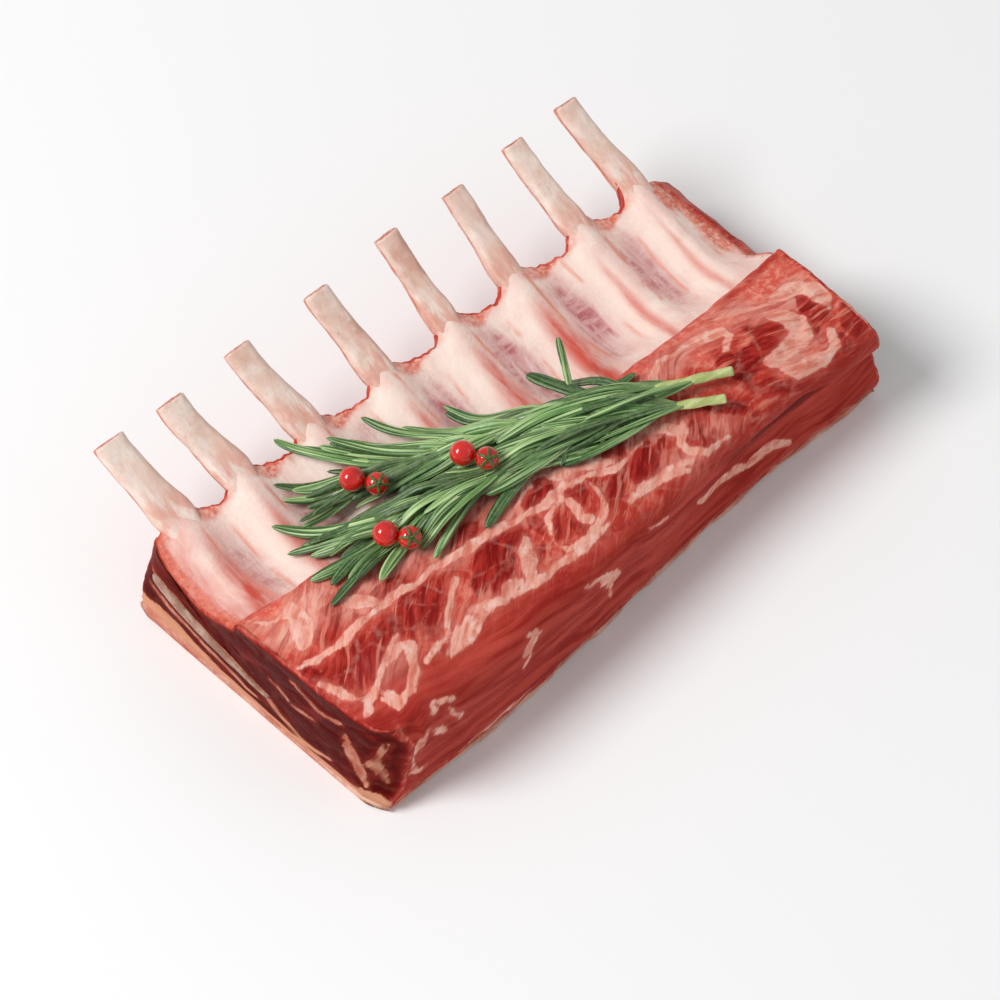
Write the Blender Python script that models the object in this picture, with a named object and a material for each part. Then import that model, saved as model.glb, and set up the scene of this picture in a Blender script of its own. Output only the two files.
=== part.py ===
"""Frenched rack of lamb lying on its fat side, with a bunch of rosemary and small tomatoes on it.

X runs along the rack from the cut shoulder end to the loin end, Y runs across it to the rib tips
and Z is up.
"""

import math
import random

import bmesh
import bpy
from mathutils import Vector

# Sizes are given in millimetres
MM = 0.001
GAP = 0.3

# Ribs
RIB_BASE_X = (-80.2, -59.7, -36.0, -10.3, 13.8, 37.2, 62.3, 83.8)
RIB_TIP_X = (-82.8, -62.8, -39.0, -11.3, 14.8, 38.6, 61.4, 81.6)
RIB_TIP_Y = (63.2, 62.5, 63.6, 63.6, 65.0, 64.4, 65.4, 65.8)
RIB_WIDTH = (10.0, 9.2, 8.8, 8.4, 7.7, 7.7, 7.5, 7.7)
RIB_THICKNESS = 5.4
RIB_ROOT_Y = -3.0
RIB_BASE_Y = 37.0
RIB_LOW_Z = 28.2
RIB_LOW_Y = 8.0
RIB_RISE = 0.0056

# Meat
SHOULDER_X = -90.0
LOIN_X = 99.0
SIDE_Y_SHOULDER = -52.9
SIDE_Y_LOIN = -43.8
MARGIN_Y = 38.4
MARGIN_DIP = 3.6
SKIN = 1.4
VALLEY_DEPTH = 3.4
CHINE_Z = 42.0
CHINE_CORNER_Z = 37.5

# Layers that show at the shoulder cut
FAT_THIN = 3.2
FAT_THICK = 5.2
GRISTLE_DEPTH = 42.0
GRISTLE_Y = (-12.0, 34.5)
GRISTLE_Z = (15.0, 20.5)
GRISTLE_THICK = (2.0, 5.6)

# Garnish
STEM_RADIUS = 1.5
NEEDLE_LENGTH = 34.0
NEEDLE_WIDTH = 3.4
NEEDLE_THICK = 1.1
NEEDLE_STEPS = 5
TOMATO_RADIUS = 3.5
CALYX_THICK = 0.6


def clear_scene():
    for obj in list(bpy.data.objects):
        bpy.data.objects.remove(obj, do_unlink=True)


def smooth(start, end, value):
    """0 at start, 1 at end, with level ends."""
    t = max(0.0, min(1.0, (value - start) / (end - start)))
    return t * t * (3 - 2 * t)


def mix(a, b, t):
    return a + (b - a) * t


def material(name, color, roughness, coat=0.0):
    made = bpy.data.materials.new(name)
    made.use_nodes = True
    made.diffuse_color = (*color, 1.0)
    shader = made.node_tree.nodes["Principled BSDF"]
    shader.inputs["Base Color"].default_value = (*color, 1.0)
    shader.inputs["Roughness"].default_value = roughness
    shader.inputs["Metallic"].default_value = 0.0
    shader.inputs["Coat Weight"].default_value = coat
    return made


def finish(bm, name, made):
    """Turns a bmesh in millimetres into a shaded object with its material."""
    bmesh.ops.scale(bm, vec=(MM, MM, MM), verts=bm.verts)
    bmesh.ops.recalc_face_normals(bm, faces=bm.faces)
    mesh = bpy.data.meshes.new(name)
    bm.to_mesh(mesh)
    bm.free()
    mesh.materials.append(made)
    mesh.shade_smooth()
    mesh.set_sharp_from_angle(angle=math.radians(50))
    obj = bpy.data.objects.new(name, mesh)
    bpy.context.scene.collection.objects.link(obj)
    return obj


def loft(bm, rings, closed_ends=True):
    """Joins rings of equal length with quads and closes the two ends with a fan."""
    loops = [[bm.verts.new(point) for point in ring] for ring in rings]
    count = len(loops[0])
    for before, after in zip(loops, loops[1:]):
        for i in range(count):
            j = (i + 1) % count
            bm.faces.new((before[i], before[j], after[j], after[i]))
    if closed_ends:
        for loop in (loops[0], loops[-1]):
            centre = sum((vert.co for vert in loop), Vector()) / count
            hub = bm.verts.new(centre)
            for i in range(count):
                bm.faces.new((loop[i], loop[(i + 1) % count], hub))
    return loops


# Surface of the rack
def rib_top(y):
    return RIB_LOW_Z + RIB_RISE * (y - RIB_LOW_Y) ** 2


def chine_line(x):
    """Y of the step between the rib side and the raised chine meat."""
    return -8.4 + 0.00066 * (x - 40) ** 2


def side_line(x):
    return mix(SIDE_Y_SHOULDER, SIDE_Y_LOIN, smooth(-62, 72, x))


def near_rib(x, width):
    return max(math.exp(-((x - rib) / width) ** 2) for rib in RIB_BASE_X)


def margin_line(x):
    """Y of the scalloped edge that the bones come out of."""
    line = MARGIN_Y
    for left, right in zip(RIB_BASE_X, RIB_BASE_X[1:]):
        if left < x <= right:
            line -= MARGIN_DIP * smooth(left + 4, right - 3, x)
    return mix(line, MARGIN_Y + 2.6, near_rib(x, 5.2))


def membrane_top(x, y):
    beyond = y - chine_line(x)
    top = rib_top(y) + SKIN + 3.8 * (1 - smooth(0, 16, beyond))
    valley = VALLEY_DEPTH + 1.2 * smooth(22, 40, y)
    valley *= mix(0.25, 1.0, smooth(-1, 11, beyond))
    lip = 1.6 * smooth(30, 38, y) * near_rib(x + 9.5, 3.0) * (1 - near_rib(x, 5.2))
    return top - valley * (1 - near_rib(x, 6.4)) + lip


def chine_top(x, y):
    side = side_line(x)
    across = max(0.0, min(1.0, (y - side) / (chine_line(x) - side)))
    top = mix(37.5, 40.0, across) + (CHINE_Z - 38.6) * math.sin(math.pi * across)
    top -= (40.5 - CHINE_CORNER_Z) * (1 - smooth(SHOULDER_X, -66, x))
    lump = math.sin(x / 7.5 + y / 11) * math.cos(x / 19 - y / 8)
    return top + 0.7 * lump


def top_height(x, y):
    if y > chine_line(x) + 0.3:
        return membrane_top(x, y)
    return chine_top(x, y)


def fat_top(y):
    return mix(FAT_THIN, FAT_THICK, smooth(-24, 36, y))


def profile(x):
    """The cross-section of the meat at x, as (y, z) points round from the chine side of its underside."""
    side = side_line(x)
    chine = chine_line(x)
    margin = margin_line(x)
    low = mix(margin, MARGIN_Y + 0.6, 0.6)
    under = 3.0 * smooth(15, 62, x)
    bottom = [side + 1.0, side + 14, -20, 0, 20, low - 1.0]
    points = [(y, fat_top(y) + GAP) for y in bottom]
    edge = membrane_top(x, margin - 1.0)
    points += [(low, 7.5), (low + 0.8, 14), (mix(low, margin, 0.5), 21)]
    points += [(margin, edge - 4.0), (margin - 0.2, edge - 1.2)]
    inner = [margin - 1.8, 31, 23.5, 15.5, 8.5, chine + 7.5, chine + 3.2, chine + 0.6]
    points += [(y, membrane_top(x, y)) for y in inner]
    rise = smooth(-88, -64, x)
    foot = membrane_top(x, chine + 0.6)
    points.append((chine - 0.6, mix(foot, chine_top(x, chine), mix(0.2, 0.75, rise))))
    upper = [chine - 3.2, mix(chine, side, 0.3), mix(chine, side, 0.5), mix(chine, side, 0.7), side + 7.0]
    points += [(y, chine_top(x, y)) for y in upper]
    corner = chine_top(x, side + 7.0)
    points += [(side + 3.0, corner - 1.8), (side + 0.6, corner - 5.5), (side - 0.2, 27.5)]
    points += [(side + under, 21), (side + under * 0.8, 14.5), (side - 0.3, 8.5), (side + 0.1, 5.2)]
    return points


def shoulder_x(y, z):
    """X of the sloping cut at the shoulder end, which bulges at the foot of the rib side."""
    low = -88.4 - 0.108 * (y + 45)
    high = -91.0 + 0.0023 * (y - 12) ** 2
    high += 3.0 * smooth(33, 42, y)
    corner = mix(2.0, 6.0, smooth(3, 12, z)) * smooth(-45, -54, y)
    return mix(low, high, max(0.0, min(1.0, z / 34))) + corner


def loin_x(y, z):
    end = 103.6 - 0.04 * (y + 39) - 0.006 * (z - 8) ** 2 - 1.8 * smooth(-10, 20, y)
    end -= 4.5 * smooth(20, 30, z) * smooth(-6, 2, y)
    return end - 4.0 * smooth(36, 44, y)


def fitted_x(station, y, z):
    """X at a nominal station, pulled to the real ends near them."""
    shoulder = 1 - smooth(SHOULDER_X, SHOULDER_X + 22, station)
    loin = smooth(LOIN_X - 24, LOIN_X, station)
    return station + shoulder * (shoulder_x(y, z) - SHOULDER_X) + loin * (loin_x(y, z) - LOIN_X)


def section(station):
    """A ring of the meat: the profile taken at the x where each of its points really lies."""
    count = len(profile(station))
    ring = []
    for i in range(count):
        x = station
        for _ in range(3):
            y, z = profile(x)[i]
            x = fitted_x(station, y, z)
        ring.append(Vector((x, y, z)))
    return ring


def end_rings(ring, end_x, outward):
    """Closes an end: a softened edge, then smaller rings that follow the cut's own slope."""
    centre = sum(ring, Vector()) / len(ring)
    rings = []
    for scale, inset in ((0.975, 0.0), (0.72, -0.35), (0.4, -0.5)):
        loop = []
        for point in ring:
            spot = centre.lerp(point, scale)
            loop.append(Vector((end_x(spot.y, spot.z) - outward * inset, spot.y, spot.z)))
        rings.append(loop)
    return rings


def stations():
    found = [SHOULDER_X + 3.2]
    for i, rib in enumerate(RIB_BASE_X):
        found += [rib + offset for offset in (-7.0, -3.8, 0.0, 3.8, 7.0)]
        if i + 1 < len(RIB_BASE_X):
            found.append((rib + RIB_BASE_X[i + 1]) / 2)
    found.append(LOIN_X - 3.5)
    return sorted(x for x in found if SHOULDER_X + 2 < x < LOIN_X - 1)


def soften(ring, amount):
    """Pulls a ring a little towards its own middle, which rounds the edge of a cut."""
    centre = sum(ring, Vector()) / len(ring)
    moved = []
    for point in ring:
        pull = Vector((0, centre.y - point.y, centre.z - point.z))
        moved.append(point + pull.normalized() * amount)
    return moved


def build_meat(made):
    bm = bmesh.new()
    rings = [section(x) for x in stations()]
    first = [Vector((shoulder_x(p.y, p.z) + 0.9, p.y, p.z)) for p in section(SHOULDER_X)]
    last = [Vector((loin_x(p.y, p.z) - 0.9, p.y, p.z)) for p in section(LOIN_X)]
    first = soften(first, 0.5)
    last = soften(last, 0.5)
    start = end_rings(first, shoulder_x, -1)
    end = end_rings(last, loin_x, 1)
    loft(bm, start[::-1] + [first] + rings + [last] + end)
    return finish(bm, "meat", made)


def build_fat_cap(made):
    """The layer of fat that the rack lies on, wider at the foot of the ribs."""
    bm = bmesh.new()
    rings = []
    levels = ((0.0, 2.4), (0.9, 0.7), (0.6, 0.0), (1.0, 0.35))
    xs = [SHOULDER_X + 0.6] + stations()[::2] + [LOIN_X - 0.6]
    across = (0.22, 0.5, 0.78)
    for station in xs:
        outline = profile(station)
        near = outline[0][0] - 0.9
        far = outline[5][0] + 1.0
        ring = []
        lower = [near + levels[0][1]]
        lower += [mix(near, far, t) for t in across]
        lower.append(far - levels[0][1])
        ring += [(y, 0.0) for y in lower]
        ring += [(far - levels[1][1], levels[1][0]), (far, fat_top(far) * levels[2][0])]
        ring.append((far - levels[3][1], fat_top(far) * levels[3][0]))
        ring += [(mix(near, far, t), fat_top(mix(near, far, t))) for t in reversed(across)]
        ring.append((near + levels[3][1], fat_top(near) * levels[3][0]))
        ring += [(near, fat_top(near) * levels[2][0]), (near + levels[1][1], levels[1][0])]
        rings.append([Vector((fitted_x(station, y, z), y, z)) for y, z in ring])
    loft(bm, rings)
    return finish(bm, "fat_cap", made)


def gristle_ring(x, grow):
    """A flat lens across the cut, thicker towards the ribs and thinner with depth."""
    depth = max(0.0, (x + 91) / GRISTLE_DEPTH)
    ring = []
    steps = (0.0, 0.25, 0.5, 0.75, 1.0)
    ends = (GRISTLE_Y[0] + 8 * depth - grow, GRISTLE_Y[1] - 5 * depth + grow)
    for side in (-1, 1):
        for t in steps if side < 0 else reversed(steps):
            y = mix(*ends, t)
            thick = mix(*GRISTLE_THICK, t) * (1 - 0.55 * depth)
            half = thick / 2 * (0.45 if t in (0.0, 1.0) else 1.0) + grow
            ring.append((x, y, mix(*GRISTLE_Z, t) + side * half))
    return ring


def build_gristle(name, made, grow):
    """The shoulder-blade gristle, or with grow the room that it needs in the meat."""
    bm = bmesh.new()
    outer = [Vector((shoulder_x(y, z) - 0.2, y, z)) for _, y, z in gristle_ring(-91, grow)]
    rings = [outer]
    if grow:
        rings.insert(0, [point - Vector((8, 0, 0)) for point in outer])
    for depth in (0.08, 0.3, 0.65, 1.0):
        x = -91 + GRISTLE_DEPTH * depth + (grow if depth == 1.0 else 0)
        rings.append([Vector(point) for point in gristle_ring(x, grow)])
    loft(bm, rings)
    return finish(bm, name, made)


def rib_ring(index, y, grow):
    """Eight points round a rib, square to its path."""
    beyond = smooth(RIB_BASE_Y, RIB_TIP_Y[index], y)
    centre = Vector((mix(RIB_BASE_X[index], RIB_TIP_X[index], beyond), y, rib_top(y) - RIB_THICKNESS / 2))
    slope = math.atan(2 * RIB_RISE * (y - RIB_LOW_Y))
    up = Vector((0, -math.sin(slope), math.cos(slope)))
    side = Vector((1, 0, 0))
    flare = 1 + 0.16 * math.exp(-((y - RIB_BASE_Y - 4) / 5) ** 2)
    shaft = mix(0.9, flare, smooth(20, RIB_BASE_Y, y)) * mix(1.0, 0.95, smooth(44, 52, y))
    half = RIB_WIDTH[index] / 2 * shaft + grow
    deep = RIB_THICKNESS / 2 * mix(1.0, 0.92, beyond) + grow
    corner = 0.56
    spots = ((-1, -corner), (-corner, -1), (corner, -1), (1, -corner))
    spots += ((1, corner), (corner, 1), (-corner, 1), (-1, corner))
    return [centre + side * (half * a) + up * (deep * b) for a, b in spots]


def build_rib(index, name, made, grow):
    """A rib bone from under the chine meat to its sawn tip, or with grow the tunnel that it needs."""
    bm = bmesh.new()
    tip = RIB_TIP_Y[index]
    root = RIB_ROOT_Y - 1.5 * grow
    steps = [root, 6, 16, 26, 33.5, RIB_BASE_Y, 41, 46, 52, tip - 4]
    rings = [rib_ring(index, y, grow) for y in steps]
    end = rib_ring(index, tip, grow)
    wave = 0.5 * (grow == 0)
    rings.append([point + Vector((0, wave * math.sin(3 * i + index), 0)) for i, point in enumerate(end)])
    loft(bm, rings)
    return finish(bm, name, made)


def cut(target, cutters):
    """Takes the cutters out of the target with exact Booleans and removes them."""
    bpy.context.view_layer.objects.active = target
    for cutter in cutters:
        cutter.hide_render = True
        cutter.display_type = "WIRE"
        boolean = target.modifiers.new("Cut " + cutter.name, "BOOLEAN")
        boolean.operation = "DIFFERENCE"
        boolean.object = cutter
        bpy.ops.object.modifier_apply(modifier=boolean.name)
        bpy.data.objects.remove(cutter, do_unlink=True)


# Garnish on the rack
def curve_point(route, t):
    """A point on a Catmull-Rom curve through the route's points, for t from 0 to 1."""
    spans = len(route) - 1
    place = min(spans - 1e-9, max(0.0, t * spans))
    i = int(place)
    u = place - i
    p0 = route[max(0, i - 1)]
    p1 = route[i]
    p2 = route[i + 1]
    p3 = route[min(spans, i + 2)]
    cubic = -0.5 * p0 + 1.5 * p1 - 1.5 * p2 + 0.5 * p3
    square = p0 - 2.5 * p1 + 2 * p2 - 0.5 * p3
    return ((cubic * u + square) * u + 0.5 * (p2 - p0)) * u + p1


STEM_POINTS = (
    ((55.8, -30.6, 45.6), (32.1, -19.9, 46.6), (7.3, -7.9, 45.6),
     (-10.0, 0.4, 40.2), (-29.0, 11.5, 35.0)),
    ((48.8, -35.4, 44.8), (26.7, -23.6, 46.0), (6.5, -16.4, 46.2),
     (-14.0, -12.0, 44.8), (-36.0, -7.0, 42.4)),
)
STEM_ROUTES = tuple(tuple(map(Vector, points)) for points in STEM_POINTS)
TOMATO_SPOTS = (
    (-40.1, 13.7, 39.0, 1.0),
    (-36.2, 8.0, 39.5, 0.9),
    (-16.6, -4.1, 48.9, 1.0),
    (-13.2, -10.0, 50.0, 0.9),
    (-46.8, -8.4, 46.8, 1.0),
    (-42.8, -13.5, 47.0, 0.9),
)


def clears_tomatoes(points, room):
    for x, y, z, scale in TOMATO_SPOTS:
        for point in points:
            if (point - Vector((x, y, z))).length < TOMATO_RADIUS * scale + room:
                return False
    return True


def tomato_ceiling(x, y):
    """How high a needle can pass here: under a tomato where one lies on the sprigs."""
    ceiling = math.inf
    for spot_x, spot_y, z, scale in TOMATO_SPOTS:
        radius = TOMATO_RADIUS * scale
        if math.hypot(x - spot_x, y - spot_y) < radius + 2.5:
            ceiling = min(ceiling, z - radius - 0.85)
    return ceiling


def needle_path(root, heading, length, bend, lift):
    """The middle line of a needle, which arches over and comes to rest on the meat."""
    points = []
    for i in range(NEEDLE_STEPS + 1):
        t = i / NEEDLE_STEPS
        angle = heading + bend * t
        x = root.x + length * t * math.cos(angle)
        y = root.y + length * t * math.sin(angle)
        floor = max(top_height(x + dx, y + dy) for dx in (-1.8, 0, 1.8) for dy in (-1.8, 0, 1.8))
        free = mix(root.z, floor + lift, smooth(0, 0.8, t)) + 1.6 * math.sin(math.pi * t)
        points.append(Vector((x, y, max(min(free, tomato_ceiling(x, y)), floor + 0.95))))
    return points


def build_needle(points, width, twist):
    """A thin wavy blade with four sides: two edges, a raised middle above and one below."""
    bm = bmesh.new()
    rings = []
    last = len(points) - 1
    for i in range(1, last):
        along = (points[i + 1] - points[i - 1]).normalized()
        across = along.cross(Vector((0, 0, 1))).normalized()
        up = across.cross(along)
        turn = twist * math.sin(2.2 * i)
        wide = across * math.cos(turn) + up * math.sin(turn)
        up = wide.cross(along)
        half = width / 2 * (1 - 0.35 * (i / last) ** 3)
        side = wide * half
        thick = up * NEEDLE_THICK / 2
        rings.append([points[i] + side, points[i] + thick, points[i] - side, points[i] - thick])
    loops = [[bm.verts.new(point) for point in ring] for ring in rings]
    for before, after in zip(loops, loops[1:]):
        for a in range(4):
            b = (a + 1) % 4
            bm.faces.new((before[a], before[b], after[b], after[a]))
    for loop, tip in ((loops[0], points[0]), (loops[-1], points[-1])):
        end = bm.verts.new(tip)
        for a in range(4):
            bm.faces.new((loop[a], loop[(a + 1) % 4], end))
    return bm


def build_stem(route):
    bm = bmesh.new()
    rings = []
    steps = 14
    for i in range(steps + 1):
        t = i / steps
        point = curve_point(route, t)
        along = (curve_point(route, min(1, t + 0.02)) - curve_point(route, max(0, t - 0.02))).normalized()
        across = along.cross(Vector((0, 0, 1))).normalized()
        up = across.cross(along)
        radius = STEM_RADIUS * mix(1.0, 0.6, t)
        ring = []
        for a in range(6):
            turn = a * math.pi / 3
            ring.append(point + radius * (across * math.cos(turn) + up * math.sin(turn)))
        rings.append(ring)
    loft(bm, rings)
    return bm


def build_core(index, route):
    """The crowded middle of a sprig, where its needles lie too close to be told apart."""
    bm = bmesh.new()
    rings = []
    steps = 9
    for i in range(steps + 1):
        t = mix(0.2, 1.0, i / steps)
        point = curve_point(route, t)
        along = (curve_point(route, min(1, t + 0.02)) - curve_point(route, max(0, t - 0.02))).normalized()
        across = along.cross(Vector((0, 0, 1))).normalized()
        wide = 5.2 * math.sin(math.pi * mix(0.08, 0.8, i / steps))
        ring = []
        for a in range(8):
            angle = a * math.pi / 4
            spot = point + across * wide * math.cos(angle)
            floor = top_height(spot.x, spot.y) + 1.2
            height = point.z + (1.5 + 0.2 * index) * math.sin(angle)
            ring.append(Vector((spot.x, spot.y, max(floor, height))))
        rings.append(ring)
    loft(bm, rings)
    return bm


def build_rosemary(made):
    """Two sprigs side by side: stems, cores and needles, joined by one union."""
    rng = random.Random(5)
    shapes = []
    for index, route in enumerate(STEM_ROUTES):
        shapes.append(build_stem(route))
        count = 13
        for i in range(count):
            t = mix(0.22, 0.98, i / (count - 1))
            root = curve_point(route, t)
            tangent = curve_point(route, min(1, t + 0.02)) - curve_point(route, max(0, t - 0.02))
            heading = math.atan2(tangent.y, tangent.x)
            for side in (-1, 1):
                for _ in range(6):
                    spread = side * math.radians(rng.uniform(5, 20) * mix(1.0, 1.8, smooth(0.5, 0.9, t)))
                    length = NEEDLE_LENGTH * rng.uniform(0.8, 1.08) * mix(0.85, 1.0, smooth(0.2, 0.5, t))
                    bend = -side * math.radians(rng.uniform(-4, 14))
                    lift = rng.uniform(1.6, 5.5)
                    path = needle_path(root, heading + spread, length, bend, lift)
                    if clears_tomatoes(path, 1.6):
                        shapes.append(build_needle(path, NEEDLE_WIDTH * rng.uniform(0.85, 1.1), 0.25))
                        break
    for heading, reach, spot in ((58, 28, 0.5), (112, 17, 0.24), (-118, 15, 0.4), (-128, 14, 0.46)):
        root = curve_point(STEM_ROUTES[0 if heading > 0 else 1], spot)
        path = needle_path(root, math.radians(heading), reach, math.radians(20), 2.2)
        shapes.append(build_needle(path, NEEDLE_WIDTH, 0.2))
    group = bpy.data.collections.new("Rosemary pieces")
    bpy.context.scene.collection.children.link(group)
    for i, bm in enumerate(shapes):
        piece = finish(bm, f"piece_{i}", made)
        bpy.context.scene.collection.objects.unlink(piece)
        group.objects.link(piece)
    body = finish(build_core(0, STEM_ROUTES[0]), "rosemary", made)
    other = finish(build_core(1, STEM_ROUTES[1]), "core_piece", made)
    bpy.context.scene.collection.objects.unlink(other)
    group.objects.link(other)
    bpy.context.view_layer.objects.active = body
    union = body.modifiers.new("Join the sprigs", "BOOLEAN")
    union.operation = "UNION"
    union.operand_type = "COLLECTION"
    union.collection = group
    union.solver = "EXACT"
    bpy.ops.object.modifier_apply(modifier=union.name)
    for obj in list(group.objects):
        bpy.data.objects.remove(obj, do_unlink=True)
    bpy.data.collections.remove(group)
    keep_outside(body)
    return body


def keep_outside(obj):
    """Fills the hollows that a union seals and drops loose scraps: only the largest closed skin stays."""
    bm = bmesh.new()
    bm.from_mesh(obj.data)
    bmesh.ops.remove_doubles(bm, verts=bm.verts, dist=1e-6)
    bmesh.ops.triangulate(bm, faces=bm.faces)
    seen = set()
    skins = []
    for start in bm.faces:
        if start in seen:
            continue
        skin = [start]
        seen.add(start)
        for face in skin:
            for edge in face.edges:
                touching = edge.link_faces if len(edge.link_faces) == 2 else ()
                for other in touching:
                    if other not in seen:
                        seen.add(other)
                        skin.append(other)
        skins.append(skin)
    skins.sort(key=len)
    loose = [face for skin in skins[:-1] for face in skin]
    bmesh.ops.delete(bm, geom=loose, context="FACES")
    bm.to_mesh(obj.data)
    bm.free()


def build_tomato(index, made):
    x, y, z, scale = TOMATO_SPOTS[index]
    bm = bmesh.new()
    bmesh.ops.create_uvsphere(bm, u_segments=12, v_segments=6, radius=TOMATO_RADIUS * scale)
    bmesh.ops.scale(bm, vec=(1.0, 1.0, 0.96), verts=bm.verts)
    bmesh.ops.translate(bm, vec=(x, y, z), verts=bm.verts)
    return finish(bm, f"tomato_{index + 1}", made)


def build_calyx(number, index, made):
    """A five-pointed green star lying on the crown of a tomato, turned to where the photo shows it."""
    x, y, z, scale = TOMATO_SPOTS[index]
    radius = TOMATO_RADIUS * scale
    inner = radius + 0.35
    lean = Vector((-0.25, -0.45, 0.85)).normalized()
    east = lean.cross(Vector((0, 1, 0))).normalized()
    north = lean.cross(east)
    centre = Vector((x, y, z))
    bm = bmesh.new()
    layers = []
    for height in (inner, inner + CALYX_THICK):
        verts = []
        for i in range(10):
            turn = i * math.pi / 5 + 0.4 * number
            polar = math.radians(58 if i % 2 == 0 else 17)
            outward = east * math.cos(turn) + north * math.sin(turn)
            way = lean * math.cos(polar) + outward * math.sin(polar)
            reach = height + (0.35 if i % 2 == 0 else 0.0)
            verts.append(bm.verts.new(centre + way * reach))
        layers.append(verts)
    below = bm.verts.new(centre + lean * (inner + 0.15))
    above = bm.verts.new(centre + lean * (inner + CALYX_THICK + 0.5))
    for i in range(10):
        j = (i + 1) % 10
        bm.faces.new((layers[0][i], layers[0][j], layers[1][j], layers[1][i]))
        bm.faces.new((layers[0][i], layers[0][j], below))
        bm.faces.new((layers[1][i], layers[1][j], above))
    return finish(bm, f"calyx_{number}", made)


def main():
    clear_scene()
    meat_red = material("meat_red", (0.44, 0.075, 0.06), 0.38, 0.3)
    fat_cream = material("fat_cream", (0.80, 0.58, 0.44), 0.42, 0.2)
    gristle_grey = material("gristle_grey", (0.62, 0.56, 0.50), 0.4, 0.2)
    bone_ivory = material("bone_ivory", (0.78, 0.60, 0.50), 0.5, 0.1)
    leaf_green = material("leaf_green", (0.055, 0.19, 0.045), 0.5)
    tomato_red = material("tomato_red", (0.62, 0.012, 0.01), 0.12, 0.8)
    calyx_green = material("calyx_green", (0.05, 0.16, 0.03), 0.5)

    meat = build_meat(meat_red)
    build_fat_cap(fat_cream)
    tunnels = [build_rib(i, f"tunnel_{i + 1}", meat_red, GAP) for i in range(len(RIB_BASE_X))]
    slot = build_gristle("gristle_slot", meat_red, GAP)
    cut(meat, tunnels + [slot])
    build_gristle("blade_gristle", gristle_grey, 0.0)
    for i in range(len(RIB_BASE_X)):
        build_rib(i, f"rib_{i + 1}", bone_ivory, 0.0)

    build_rosemary(leaf_green)
    for i in range(len(TOMATO_SPOTS)):
        build_tomato(i, tomato_red)
    for number, index in enumerate((1, 3, 5), start=1):
        build_calyx(number, index, calyx_green)


main()
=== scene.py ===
import math
import random

import bpy
import numpy as np
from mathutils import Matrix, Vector


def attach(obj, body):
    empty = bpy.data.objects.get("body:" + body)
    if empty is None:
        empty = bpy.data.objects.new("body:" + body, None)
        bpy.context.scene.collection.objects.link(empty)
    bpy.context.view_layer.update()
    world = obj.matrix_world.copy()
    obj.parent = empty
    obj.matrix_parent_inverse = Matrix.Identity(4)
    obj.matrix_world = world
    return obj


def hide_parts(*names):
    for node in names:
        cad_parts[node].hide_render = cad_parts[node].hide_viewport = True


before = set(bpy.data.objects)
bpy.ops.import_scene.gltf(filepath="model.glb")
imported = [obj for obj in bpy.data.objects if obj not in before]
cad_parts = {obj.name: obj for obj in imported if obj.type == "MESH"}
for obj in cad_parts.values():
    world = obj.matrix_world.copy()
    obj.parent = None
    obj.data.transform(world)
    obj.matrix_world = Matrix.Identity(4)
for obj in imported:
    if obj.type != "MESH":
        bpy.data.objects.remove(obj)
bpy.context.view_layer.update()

print("frame loaded")

mm = 0.001

# What sets the shape of the rack, in millimetres, as in the solids
rack = {
    "ribBaseX": (-80.2, -59.7, -36.0, -10.3, 13.8, 37.2, 62.3, 83.8),
    "ribTipX": (-82.8, -62.8, -39.0, -11.3, 14.8, 38.6, 61.4, 81.6),
    "ribTipY": (63.2, 62.5, 63.6, 63.6, 65.0, 64.4, 65.4, 65.8),
    "ribWidth": (10.0, 9.2, 8.8, 8.4, 7.7, 7.7, 7.5, 7.7),
    "ribThick": 5.4,
    "ribLowZ": 28.2,
    "ribLowY": 8.0,
    "ribRise": 0.0056,
    "shoulderX": -90.0,
    "loinX": 99.0,
    "marginY": 38.4,
    "marginDip": 3.6,
    "marginWaver": 0.35,
    "marginPeak": 4.6,
    "skin": 1.4,
    "valley": 3.4,
    "gap": 0.3,
    "chineY": -8.4,
    "chineBow": 0.00066,
    "chineBowX": 40,
    "chineZ": (37.5, 40.0),
    "chineCrown": 3.4,
    "chineDrop": 3.0,
    "chineLump": 0.7,
    "chineFoot": 3.8,
    "sideY": (-52.9, -43.8),
    "sideTurnX": (-62, 72),
    "fatThick": (3.2, 5.2),
    "lip": 1.5,
    "shoulderSlope": 0.108,
    "shoulderBow": 0.0023,
    "loinSlope": 0.04,
    "loinBow": 0.006,
}


# Numeric helpers that work on whole arrays
def smooth(start, end, value):
    t = np.clip((np.asarray(value, float) - start) / (end - start), 0.0, 1.0)
    return t * t * (3 - 2 * t)


def mix(a, b, t):
    return a + (b - a) * t


def scatterValue(ix, iy, iz, seed):
    n = np.sin(ix * 127.1 + iy * 311.7 + iz * 74.7 + seed * 19.19) * 43758.5453
    return n - np.floor(n)


def noiseAt(points, size, seed=0):  # soft random value from -1 to 1, with lumps of that size
    p = points / size
    cell = np.floor(p)
    f = p - cell
    f = f * f * (3 - 2 * f)
    total = 0.0
    for dx in (0, 1):
        for dy in (0, 1):
            for dz in (0, 1):
                weight = np.abs(1 - dx - f[..., 0]) * np.abs(1 - dy - f[..., 1]) * np.abs(1 - dz - f[..., 2])
                value = scatterValue(cell[..., 0] + dx, cell[..., 1] + dy, cell[..., 2] + dz, seed)
                total = total + weight * value
    return total * 2 - 1


def layeredNoise(points, size, seed=0, layers=3):
    total = 0.0
    for layer in range(layers):
        total = total + noiseAt(points, size / 2 ** layer, seed + 7 * layer) * 0.5 ** layer
    return total / (2 - 0.5 ** (layers - 1))


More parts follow.
